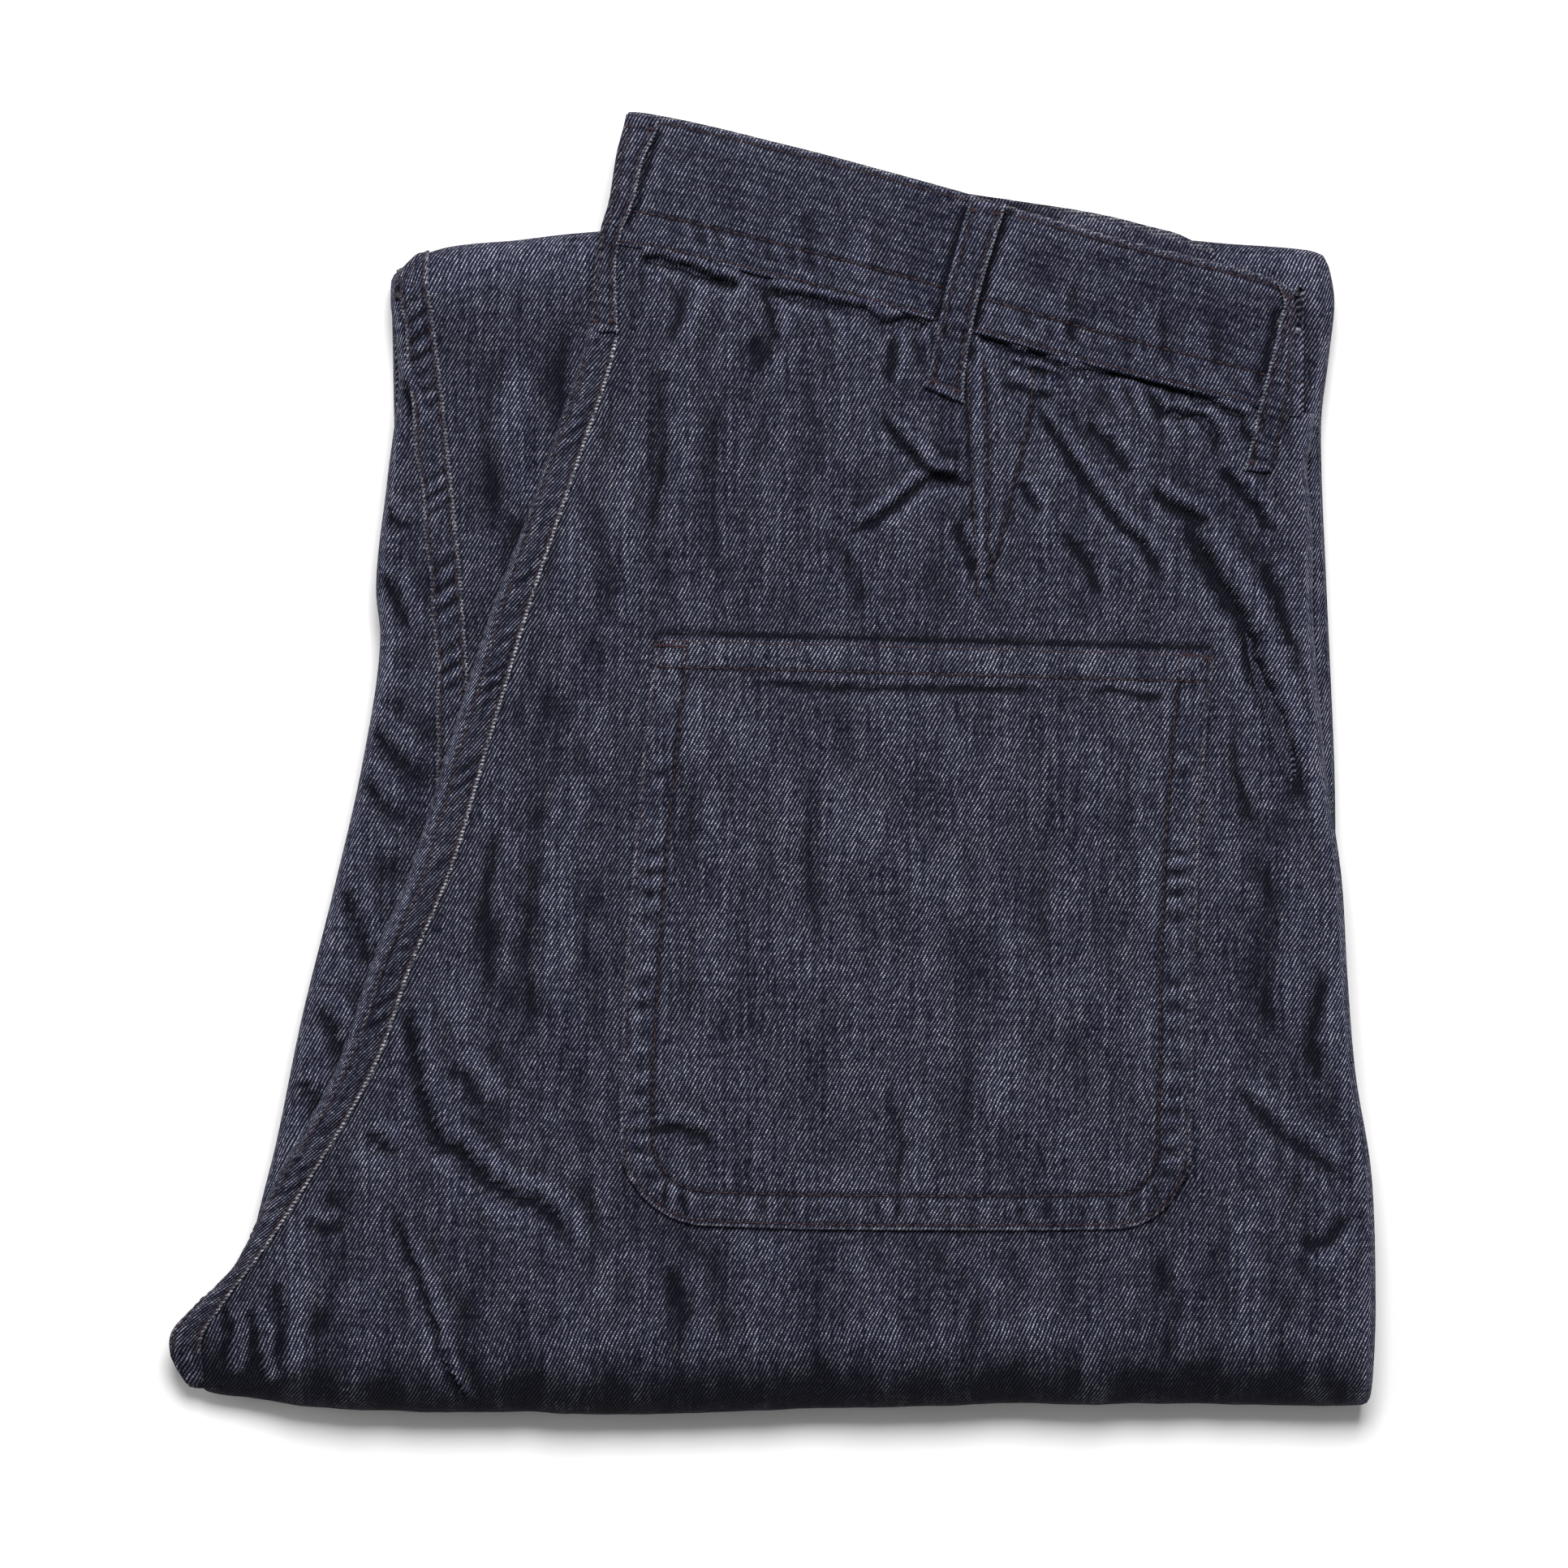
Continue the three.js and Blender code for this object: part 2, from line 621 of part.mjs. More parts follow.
// The patch pocket: wider at its foot, with round lower corners and a folded hem along its mouth.
const pocket = {
  left: [
    { y: 40, x: -35.8 },
    { y: -14, x: -41.5 },
    { y: -65, x: -45.3 },
    { y: -100, x: -47 },
    { y: -145, x: -46.5 },
  ],
  right: [
    { y: 36, x: 136.5 },
    { y: -14, x: 132.3 },
    { y: -65, x: 130.3 },
    { y: -102, x: 129.8 },
    { y: -145, x: 128 },
  ],
  mouth: { left: 39.6, right: 34.8 },
  foot: { left: -141, right: -142.4 },
  corner: 26,
};
function patchPocket() {
  const hemShare = 0.05; // share of the height that the folded hem takes
  const sag = 1.6;
  const rows = [
    0,
    hemShare - 0.002,
    hemShare + 0.002,
    ...steps(8, (t) => 0.12 + t * 0.7),
    0.88,
    0.93,
    0.965,
    0.988,
    1,
  ];
  const wallAt = (t) => (t < hemShare ? pocketHemWall : pocketWall);
  const { left, right, mouth, foot, corner } = pocket;
  const grid = rows.map((t) => {
    const leftY = lerp(mouth.left, foot.left, t);
    const rightY = lerp(mouth.right, foot.right, t);
    const low = clamp(corner - (leftY - foot.left), 0, corner);
    const cut = corner - Math.sqrt(corner ** 2 - low ** 2);
    const leftX = xAt(left, leftY) + cut;
    const rightX = xAt(right, rightY) - cut * 0.85;
    return steps(10, (u) => {
      const y = lerp(leftY, rightY, u) - sag * Math.sin(Math.PI * u) * t;
      return new THREE.Vector3(lerp(leftX, rightX, u), y, packHeight + seamGap + wallAt(t));
    });
  });
  return wall(grid, (j) => wallAt(rows[j]), -1);
}

add("hidden_leg_layers", hiddenLegLayers(), colours.denim);
add("hidden_seat_layers", hiddenSeatLayers(), colours.denim);
add("back_right", backRight(), colours.denim);
add("back_left", backLeft(), colours.denim);
const seatSeamWidth = (y) => Math.min(seamWidth, xAt(seatRoll, y) - 2);
add("seat_seam", felledStrip(seatSeam, 128, -166, packHeight, seatSeamWidth, 30), colours.denim);
add("leg_left_back", legLeftBack(), colours.denim);
add("leg_left_front", legLeftFront(), colours.denim);
add("inseam", felledStrip(inseam, 146, 24, legsHeight, () => seamWidth, 12), colours.denim);

// The waistband's four thicknesses, from the top one down.
const bandStep = waistbandWall + seamGap;
[
  { name: "waistband_right_back", startX: -50, endX: 158, height: waistbandHeight, flare: 0, roll: 2 },
  { name: "waistband_right_front", startX: -48, endX: 130, height: 38.5, flare: 6, roll: 0 },
  { name: "waistband_left_front", startX: -48, endX: 128, height: 37.5, flare: 2, roll: 0 },
  { name: "waistband_left_back", startX: -50, endX: 148, height: 38, flare: 0, roll: 0 },
].forEach(({ name, ...shape }, ply) => {
  add(name, waistband({ top: bandTop - ply * bandStep, ...shape }), colours.band);
});
[
  { name: "loop_back_centre", topX: -42, topY: 197, endX: -52, endY: 135, width: 9 },
  { name: "loop_back_side", topX: 66.5, topY: 171, endX: 53, endY: 112.6, width: 11 },
  { name: "loop_side_seam", topX: 155.5, topY: 147, endX: 150, endY: 88, width: 9 },
].forEach(({ name, ...shape }) => add(name, beltLoop(shape), colours.band));
add("pocket_back_right", patchPocket(), colours.pocket);

export default group;
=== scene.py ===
import math

import bmesh
import bpy
import numpy as np
from mathutils import Matrix, Vector


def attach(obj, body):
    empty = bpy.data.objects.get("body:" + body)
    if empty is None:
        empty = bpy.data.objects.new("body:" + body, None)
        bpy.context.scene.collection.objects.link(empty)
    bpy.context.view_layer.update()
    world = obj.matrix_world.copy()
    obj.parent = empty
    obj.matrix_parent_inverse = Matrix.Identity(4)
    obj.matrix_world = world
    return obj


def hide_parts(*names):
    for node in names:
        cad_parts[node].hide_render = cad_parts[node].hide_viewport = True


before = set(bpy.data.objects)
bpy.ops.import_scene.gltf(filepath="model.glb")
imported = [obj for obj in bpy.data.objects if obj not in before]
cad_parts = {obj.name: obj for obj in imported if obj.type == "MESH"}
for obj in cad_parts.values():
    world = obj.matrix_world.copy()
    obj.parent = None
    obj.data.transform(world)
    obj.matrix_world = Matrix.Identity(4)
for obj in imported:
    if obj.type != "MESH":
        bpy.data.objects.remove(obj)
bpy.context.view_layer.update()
mm = 0.001

# Sailor trousers folded flat: one leg on the other, then in three below the seat, with the right back up.
# Lengths in the tables and surfaces are millimetres. X runs across the pack, Y from the fold under the
# seat to the waistband, and Z up from the surface it lies on.

pack = dict(
    height=26.0,  # surface to seat panel
    legs=14.0,  # surface to the top of the folded legs
    wall=1.2,  # one thickness of denim
    hem=-158.0,
    crown=3.0,
    crownAt=(20.0, -30.0),
    crownReach=(190.0, 185.0),
    droopFrom=150.0,
    droopOver=51.0,
    droopBy=8.0,
    tipAt=(-130.0, -140.0),
    tipOver=55.0,
    tipShare=0.4,
)

# Edges of the pack from above, a row for each bend.
seatSeam = [  # y, x
    (201, -35), (160, -45), (128, -48.5), (92, -60), (52, -73.5), (6, -87.3), (-33, -99), (-60, -110.3),
    (-93, -122.3), (-124, -140), (-156, -161.5), (-168, -172), (-176, -177.5), (-190, -178), (-202, -178),
]
sideFold = [  # y, x
    (152, 164), (120, 167), (108, 167.5), (100, 166.5), (92, 165), (79, 166.3), (64, 166.8), (50, 166.6),
    (29, 168), (-5, 171.2), (-35, 175.5), (-65, 177.3), (-95, 179.8), (-125, 184.6), (-160, 186),
    (-202, 185.4),
]
waistSeam = [  # x, y
    (-60, 161.5), (-45, 160.4), (-2, 151), (50, 137.4), (106, 121.6), (135, 114.4), (160, 108),
]
seatRoll = [  # y, how far the seat rolls out past its seam
    (201, 9), (150, 9), (128, 9.5), (-115, 11), (-135, 9), (-156, 4.5), (-168, 7), (-175, 8.5), (-184, 7),
    (-191, 3.5), (-196, 1), (-202, 0.5),
]
seatFoldFront = [  # x, y
    (-190, -188), (-176, -194), (-160, -196.5), (-142, -199), (-88, -200.4), (-38, -201), (12, -199.6),
    (62, -198.2), (112, -197.4), (152, -198.6), (190, -198),
]
legLeftEdge = [  # y, x
    (152, -118), (126, -115.5), (95, -118.8), (60, -122.3), (45, -121), (5, -126.5), (-35, -135.3),
    (-75, -145), (-115, -153), (-150, -161), (-200, -166),
]
legRightEdge = [  # y, x
    (158, 171.5), (150, 174), (130, 172.6), (110, 170.2), (94, 170.2), (60, 171.6), (0, 174.2),
    (-60, 175.4), (-120, 182), (-200, 183),
]
inseam = [  # y, x
    (165, -110.5), (158, -108.8), (145, -106), (119, -102.5), (94, -99.8), (54, -96), (10, -93.8),
    (-60, -98), (-200, -120),
]
kneeFoldFront = [  # x, y
    (-125, 151), (-116, 152.5), (-109, 157.4), (-78, 162.5), (-52, 165.4), (40, 165.8), (132, 162.2),
    (172, 158), (180, 156),
]


def along(table, at):
    # a smooth curve through the rows of a table
    rows = sorted(table)
    place = np.array([row[0] for row in rows], float)
    value = np.array([row[1] for row in rows], float)
    slope = np.diff(value) / np.diff(place)
    tangent = np.concatenate([slope[:1], (slope[1:] + slope[:-1]) / 2, slope[-1:]])
    at = np.asarray(at, float)
    i = np.clip(np.searchsorted(place, at) - 1, 0, len(place) - 2)
    span = place[i + 1] - place[i]
    f = np.clip((at - place[i]) / span, 0, 1)
    return (
        (2 * f**3 - 3 * f**2 + 1) * value[i]
        + (f**3 - 2 * f**2 + f) * span * tangent[i]
        + (3 * f**2 - 2 * f**3) * value[i + 1]
        + (f**3 - f**2) * span * tangent[i + 1]
    )


def lerp(a, b, t):
    return a + (b - a) * t


def smooth(x, low, high):
    t = np.clip((np.asarray(x, float) - low) / (high - low), 0, 1)
    return t * t * (3 - 2 * t)


def bell(distance, width):
    return np.exp(-((distance / width) ** 2))


def waves(x, y, size, seed, count=9):
    # soft unevenness of about one unit, from crossing waves
    draw = np.random.RandomState(seed)
    total = 0 * x
    for _ in range(count):
        turn, phase = draw.uniform(0, 2 * math.pi, 2)
        k = 2 * math.pi * draw.uniform(0.7, 1.5) / size
        total = total + np.sin(k * (x * math.cos(turn) + y * math.sin(turn)) + phase)
    return total / math.sqrt(count / 2)


def settle(x, y, z):
    # the pack is crowned, its waist end droops past the legs, and the crotch point lies low
    level = np.clip(z / pack["height"], 0, 1.2)
    ways = zip((x, y), pack["crownAt"], pack["crownReach"])
    cx, cy = [(at - middle) / reach for at, middle, reach in ways]
    crown = pack["crown"] * np.maximum(0, 1 - cx**2) * np.maximum(0, 1 - cy**2)
    past = np.maximum(0, (y - pack["droopFrom"]) / pack["droopOver"])
    falls = pack["droopBy"] * past**2 * smooth(z, pack["legs"] - 1, pack["legs"] + 1)
    over = pack["tipOver"]
    tip = smooth(pack["tipAt"][0] - x, 0, over) * smooth(pack["tipAt"][1] - y, 0, over)
    return z * (1 - pack["tipShare"] * tip) + crown * level - falls


def fromPath(x, y, path):
    # distance to a path, positive on its left, and how far along it the nearest point is, from 0 to 1
    points = np.array(path, float)
    steps = np.diff(points, axis=0)
    lengths = np.hypot(steps[:, 0], steps[:, 1])
    run = np.concatenate([[0], np.cumsum(lengths)])
    best = np.full(x.shape, 1e9)
    side = np.ones(x.shape)
    share = np.zeros(x.shape)
    for (px, py), (dx, dy), length, start in zip(points[:-1], steps, lengths, run):
        t = np.clip(((x - px) * dx + (y - py) * dy) / length**2, 0, 1)
        away = np.hypot(x - px - t * dx, y - py - t * dy)
        nearer = away < best
        best = np.where(nearer, away, best)
        side = np.where(nearer, np.sign(dx * (y - py) - dy * (x - px)), side)
        share = np.where(nearer, (start + t * length) / run[-1], share)
    return best * side, share


creaseGain = 1.7
creaseWander = 0.2


def crease(path, width, depth, roll=0.0, side=1, reach=1.5, fade=0.22):
    return dict(path=path, width=width, depth=depth, roll=roll, side=side, reach=reach, fade=fade)


def creased(x, y, creases):
    # each crease is a trough with a roll of cloth on one side, dying out at its ends
    height = np.zeros(x.shape)
    uneven = creaseWander * waves(x, y, 8, 77)
    for c in creases:
        xs, ys = [p[0] for p in c["path"]], [p[1] for p in c["path"]]
        margin = 6 * c["width"] * c["reach"]
        near = (x > min(xs) - margin) & (x < max(xs) + margin)
        near = near & (y > min(ys) - margin) & (y < max(ys) + margin)
        if not near.any():
            continue
        away, share = fromPath(x[near], y[near], c["path"])
        away = away * c["side"] + uneven[near] * min(1, c["width"] / 1.5)
        ends = smooth(share, 0, c["fade"]) * smooth(1 - share, 0, c["fade"])
        trough = creaseGain * c["depth"] * bell(away, c["width"] * np.where(away > 0, 0.8, 1.5))
        rollWidth = c["width"] * c["reach"]
        roll = creaseGain * c["roll"] * bell(away - c["width"] * 0.9 - rollWidth, rollWidth)
        height[near] += ends * (roll - trough)
    return height


def turnedEdge(past, radius):
    # a cloth edge that turns under: how far out and how far down it is, by its length past the turn's start
    turn = np.clip(past / radius, 0, math.pi)
    after = np.maximum(0, past - math.pi * radius)
    out = np.where(past < 0, past, radius * np.sin(turn) - after)
    return out, radius * (1 - np.cos(turn))


def quarterEllipse(a, b):
    return math.pi / 4 * (3 * (a + b) - np.sqrt((3 * a + b) * (a + 3 * b)))


def foldLength(out, low, half):
    return quarterEllipse(out, half) + quarterEllipse(low, half)


def foldPath(q, out, low, half):
    # round a fold by the cloth's length past its start: how far behind the fold's front it is, its height
    # over the middle, and the two parts of the way out of the cloth
    first, second = quarterEllipse(out, half), quarterEllipse(low, half)
    angle = np.where(q < first, q / first, 1 + (q - first) / second) * math.pi / 2
    angle = np.clip(angle, 0, math.pi)
    reach = np.where(q < first, out, low)
    extra = np.maximum(0, -q) + np.maximum(0, q - first - second)
    return reach - reach * np.sin(angle) + extra, half * np.cos(angle), np.sin(angle), np.cos(angle)


def edgeDrop(distance, radius):
    # a rounded edge: how far the surface has dropped at this distance inside it
    inner = np.clip(radius - distance, 0, radius)
    return radius - np.sqrt(radius**2 - inner**2)


def linked(name, data):
    thing = bpy.data.objects.new(name, data)
    bpy.context.collection.objects.link(thing)
    return thing


def makeMesh(name, bm):
    mesh = bpy.data.meshes.new(name)
    bm.to_mesh(mesh)
    bm.free()
    for face in mesh.polygons:
        face.use_smooth = True
    piece = linked(name, mesh)
    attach(piece, "root")
    return piece


# High places wear pale, and low ones get painted shade, darker in troughs, creases and hollows. Each reach
# is its number of rounds and its gain.
wearAndHollowShade = dict(reaches=((3, 1.7), (30, 0.42)), dark=1.3, pale=0.9, low=-0.88, high=0.8)


def wornAndShaded(points, across, upward):
    # how far each point of a grid stands out of the cloth round it, near and far: pale wear where it stands
    # out, painted shade where it lies low
    cloth = points.reshape(upward + 1, across + 1, 3)
    normal = np.cross(np.gradient(cloth, axis=1), np.gradient(cloth, axis=0))
    normal = normal / (np.linalg.norm(normal, axis=2, keepdims=True) + 1e-9)
    level, tone, done = cloth, 0, 0
    for rounds, gain in wearAndHollowShade["reaches"]:
        for _ in range(rounds - done):
            wide = np.pad(level, ((1, 1), (1, 1), (0, 0)), mode="reflect", reflect_type="odd")
            wide = (wide[:-2] + wide[2:] + 2 * wide[1:-1]) / 4
            level = (wide[:, :-2] + wide[:, 2:] + 2 * wide[:, 1:-1]) / 4
        done = rounds
        tone = tone + gain * ((cloth - level) * normal).sum(axis=2)
    return tone.ravel()


def newGrid(across, upward):
    # a grid and the place of its corners, from 0 to 1 each way
    bm = bmesh.new()
    bmesh.ops.create_grid(bm, x_segments=across, y_segments=upward, size=0.5)
    bm.verts.ensure_lookup_table()
    place = np.array([vert.co for vert in bm.verts]) + 0.5
    return bm, place[:, 0], place[:, 1]


def layGrid(bm, points, weave):
    # puts the corners in their places and gives the faces their weave map
    for vert, point in zip(bm.verts, points):
        vert.co = point * mm
    uvLayer = bm.loops.layers.uv.new("cloth")
    for face in bm.faces:
        for corner in face.loops:
            corner[uvLayer].uv = weave[corner.vert.index]


def declare(piece, p, finish):
    # gives the piece its finish, hides the part it stands for and prints its faces; its cut is the width and
    # length of the flat piece, and the share of that oblong which it fills, from which its area is worked
    # out but not used
    piece.data.materials.append(finish)
    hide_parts(p["node"])
    width, length, filled = p["cut"][0] * mm, p["cut"][1] * mm, p["cut"][2]
    area = filled * width * length
    print("  %s: %d faces" % (p["name"], len(piece.data.polygons)))


def makeCloth(p, surface, finish):
    # a grid laid on a surface, with its weave map, the pale wear of its edges, a tone of pale wear on ridges
    # and painted shade in hollows, and then its wall
    across, upward = p["grid"]
    bm, u, v = newGrid(across, upward)
    place, weave, wearAndShade = surface(u, v)
    points = np.stack(place, axis=1)
    layGrid(bm, points, np.stack(weave, axis=1))
    # the tone: pale wear on ridges, painted shade in troughs, and painted shade wherever the surface's
    # wear-and-shade value is below zero
    order = np.rint(v * upward) * (across + 1) + np.rint(u * across)
    tone = wornAndShaded(points[np.argsort(order)], across, upward)[order.astype(int)]
    tone = tone * np.where(tone < 0, wearAndHollowShade["dark"], wearAndHollowShade["pale"]) + np.minimum(wearAndShade, 0)
    tone = np.clip(tone, wearAndHollowShade["low"], wearAndHollowShade["high"])
    wearAndShadeLayer = bm.verts.layers.float.new("wearAndShade")
    toneLayer = bm.verts.layers.float.new("tone")
    for vert, edge, shade in zip(bm.verts, wearAndShade, tone):
        vert[wearAndShadeLayer] = edge
        vert[toneLayer] = shade
    piece = makeMesh(p["name"], bm)
    thick = piece.modifiers.new("wall", "SOLIDIFY")
    thick.thickness = p["wall"] * mm
    thick.offset = -1
    thick.use_quality_normals = False
    declare(piece, p, finish)


# Shader maths
class Value:
    def __init__(self, look, socket):
        self.look = look
        self.socket = socket

    def math(self, operation, *others):
        return self.look.node("ShaderNodeMath", dict(operation=operation), [self, *others])

    def __add__(self, other):
        return self.math("ADD", other)

    def __mul__(self, other):
        return self.math("MULTIPLY", other)

    def __sub__(self, other):
        return self.math("SUBTRACT", other)

    def cos(self):
        return self.math("COSINE")

    def rise(self, low, high):
        settings = dict(interpolation_type="SMOOTHSTEP", clamp=True)
        return self.look.node("ShaderNodeMapRange", settings, {0: self, 1: low, 2: high})

    def rounded(self):
        return self.math("ROUND")

    def limited(self, low=0.0, high=1.0):
        return self.look.node("ShaderNodeClamp", {}, [self, low, high])


class Look:
    def __init__(self, name):
        self.material = bpy.data.materials.new(name)
        self.material.use_nodes = True
        self.tree = self.material.node_tree
        self.shader = self.tree.nodes["Principled BSDF"]

    def node(self, kind, settings, inputs, output=0):
        node = self.tree.nodes.new(kind)
        for key, value in settings.items():
            setattr(node, key, value)
        pairs = inputs.items() if isinstance(inputs, dict) else enumerate(inputs)
        for key, value in pairs:
            self.put(node.inputs[key], value)
        return Value(self, node.outputs[output])

    def put(self, socket, value):
        if isinstance(value, Value):
            self.tree.links.new(value.socket, socket)
        else:
            socket.default_value = value

    def noise(self, vector, scale, detail=2.0, rough=0.5):
        inputs = {"Vector": vector, "Scale": scale, "Detail": detail, "Roughness": rough}
        return self.node("ShaderNodeTexNoise", dict(noise_dimensions="3D"), inputs)

    def stretched(self, vector, along, up):
        settings = dict(operation="MULTIPLY")
        return self.node("ShaderNodeVectorMath", settings, [vector, (along, up, 1.0)])

    def blend(self, share, first, second):
        settings = dict(data_type="RGBA", blend_type="MIX")
        return self.node("ShaderNodeMix", settings, {0: share, 6: first, 7: second}, output=2)

    def scaled(self, colour, by):
        settings = dict(operation="SCALE")
        return self.node("ShaderNodeVectorMath", settings, {0: colour, "Scale": by})

    def dress(self, colour, roughness, specular, bump=None):
        self.put(self.shader.inputs["Base Color"], colour)
        if bump:
            self.put(self.shader.inputs["Normal"], bump)
        self.shader.inputs["Roughness"].default_value = roughness
        self.shader.inputs["Specular IOR Level"].default_value = specular


denim = dict(
    warpColour=(0.0072, 0.0081, 0.0274),  # indigo
    weftColour=(0.44, 0.45, 0.51, 1),  # undyed
    wornColour=(0.62, 0.62, 0.66, 1),
    steep=(0.88, -0.5),  # the waves of the twill, in turns per millimetre
    flat=(0.765, 1.15),
    dotShare=0.65,  # of the light yarn, in dots rather than in lines
    wornPitch=1.15,
    roughness=0.88,
    specular=0.12,
)


def denimFinish(name, shown=1.0, shade=1.0, turned=False, lean=0.0):
    look = Look(name)
    cloth = look.node("ShaderNodeUVMap", dict(uv_map="cloth"), [])
    parts = look.tree.nodes.new("ShaderNodeSeparateXYZ")
    look.put(parts.inputs[0], cloth)
    x, y = Value(look, parts.outputs[0]), Value(look, parts.outputs[1])
    worn = (y * (2 * math.pi / denim["wornPitch"])).cos().rise(-0.1, 0.8)
    yarns = look.node("ShaderNodeCombineXYZ", {}, [x, y + x * lean])
    x = x + (look.noise(cloth, 0.11, 2.0) - 0.5) * 1.2
    y = y + (look.noise(cloth, 0.08, 1.0) - 0.5) * 1.6
    across = x * denim["steep"][0] + y * denim["steep"][1]
    upward = x * denim["flat"][0] + y * denim["flat"][1]
    steep, flat = [(wave * (2 * math.pi)).cos() for wave in (across, upward)]
    cell = look.node("ShaderNodeCombineXYZ", {}, [across.rounded(), upward.rounded()])
    chance = look.node("ShaderNodeTexWhiteNoise", dict(noise_dimensions="3D"), {"Vector": cell})
    line = steep.rise(-0.2, 0.85)
    dot = flat.rise(-0.6, 0.8)
    grain, slubs = ((0.66, 0.045), (0.05, 0.6))
    if turned:  # cut with its warp along the band
        grain, slubs = (grain[1], grain[0]), (slubs[1], slubs[0])
    warpSlub = look.noise(look.stretched(yarns, *grain), 1.0, 3.0, 0.6)
    weftSlub = look.noise(look.stretched(yarns, *slubs), 1.0, 2.0, 0.55)
    near = look.noise(cloth, 0.52, 3.0, 0.62)
    cloud = look.noise(look.stretched(yarns, 0.05, 0.02), 1.0, 3.0, 0.6)
    patch = near.rise(0.32, 0.68) * 0.6 + cloud.rise(0.25, 0.75) * 0.4
    patch = patch + warpSlub.rise(0.35, 0.68) * 0.62 + weftSlub.rise(0.35, 0.72) * 0.34 - 0.21
    # the tone attribute: pale wear on ridges and painted shade in troughs and folds, on the light yarn and
    # on the indigo
    tone = look.node("ShaderNodeAttribute", dict(attribute_name="tone"), [], output=2)
    patch = (patch * (tone + 0.97)).limited(0.05, 2.4)
    strength = (chance * chance * 1.4 + 0.55) * patch
    # the wear attribute: pale edge wear; its painted shade, below zero, is clamped away here
    wearAndShade = look.node("ShaderNodeAttribute", dict(attribute_name="wearAndShade"), [], output=2)
    dots = denim["dotShare"]
    weft = (line * (dot * dots + (1 - dots)) * strength * (0.45 * shown)).limited()
    # the indigo's depth, darkened by the tone's painted shade and lightened by its wear
    dyedAndShaded = (line * 0.85 + 0.3) * (patch * 0.7 + 0.7) * (tone * 0.5 + 1) * shade
    warp = look.scaled(denim["warpColour"], dyedAndShaded)
    colour = look.blend(weft, warp, denim["weftColour"])
    colour = look.blend((wearAndShade * (worn * chance * 1.3 + 0.04)).limited(), colour, denim["wornColour"])
    relief = dot * line * 0.6 + line * 0.4 + near * 1.6 + warpSlub * 0.8
    bump = look.node("ShaderNodeBump", {}, {"Strength": 0.7, "Distance": 0.00035, "Height": relief})
    look.dress(colour, denim["roughness"], denim["specular"], bump)
    return look.material


stitch = dict(
    pitch=2.9, length=2.3, radius=0.36, sides=6, rings=4,
    dark=(0.012, 0.005, 0.008, 1), pale=(0.045, 0.02, 0.026, 1), roughness=0.6, specular=0.3,
)


def threadFinish(name):
    look = Look(name)
    place = look.node("ShaderNodeTexCoord", {}, [], output=3)
    tone = look.noise(place, 900.0, 2.0)
    colour = look.blend(tone, stitch["dark"], stitch["pale"])
    bump = look.node("ShaderNodeBump", {}, {"Strength": 0.5, "Distance": 0.0001, "Height": tone})
    look.dress(colour, stitch["roughness"], stitch["specular"], bump)
    return look.material


bodyDenim = denimFinish("bodyDenim", shown=1.0, shade=0.95)
legDenim = denimFinish("legDenim", shown=0.93, shade=0.95)
pocketDenim = denimFinish("pocketDenim", shown=1.15)
bandDenim = denimFinish("bandDenim", shown=0.92, turned=True, lean=0.27)
thread = threadFinish("thread")


# Sewing
tack = dict(pitch=0.55, length=1.7, radius=0.3, lean=0.35)
sewing = np.random.RandomState(11)


def oneStitch(bm, place, way, length, radius):
    shape = Matrix.Diagonal((radius * mm, radius * mm, length / 2 * mm, 1))
    turn = Vector(way).to_track_quat("Z", "X").to_matrix().to_4x4()
    at = Matrix.Translation(Vector(place) * mm)
    bmesh.ops.create_uvsphere(
        bm, u_segments=stitch["sides"], v_segments=stitch["rings"], radius=1.0, matrix=at @ turn @ shape
    )


def sewLine(bm, points, lift=0.12):
    # stitches end to end along a line of points
    points = np.array(points, float)
    run = np.concatenate([[0], np.cumsum(np.linalg.norm(np.diff(points, axis=0), axis=1))])
    count = int(run[-1] / stitch["pitch"])
    for i in range(count):
        middle = (i + 0.5) * stitch["pitch"] + sewing.uniform(-0.15, 0.15)
        ends = [middle - stitch["length"] / 2, middle + stitch["length"] / 2]
        a, b = [np.array([np.interp(e, run, points[:, axis]) for axis in range(3)]) for e in ends]
        place = (a + b) / 2 + (0, 0, lift)
        oneStitch(bm, place, b - a, stitch["length"], stitch["radius"])


def barTack(bm, start, end, lift=0.25):
    # a short bar of close stitches, across its own line
    start, end = np.array(start, float), np.array(end, float)
    way = end - start
    count = max(4, int(np.linalg.norm(way) / tack["pitch"]))
    over = np.array([-way[1], way[0], 0]) / np.linalg.norm(way)
    for i in range(count + 1):
        lean = tack["lean"] if i % 2 else -tack["lean"]
        direction = over + lean * way / np.linalg.norm(way)
        oneStitch(bm, start + way * i / count + (0, 0, lift), direction, tack["length"], tack["radius"])


def sewn(name, lines, tacks=()):
    bm = bmesh.new()
    for points in lines:
        sewLine(bm, points)
    for start, end in tacks:
        barTack(bm, start, end)
    piece = makeMesh(name, bm)
    piece.data.materials.append(thread)


def onSurface(surface, u, v):
    place, _, _ = surface(np.asarray(u, float), np.asarray(v, float))
    return np.stack(place, axis=1)


def puckers(run, size, seed):
    # the ripple of a sewn margin, uneven in length and height
    return np.sin(run * 2 * math.pi / size + 1.5 * waves(run, 0 * run, size * 5, seed)) * (
        0.65 + 0.35 * waves(run, 0 * run + 3, size * 4, seed + 1)
    )


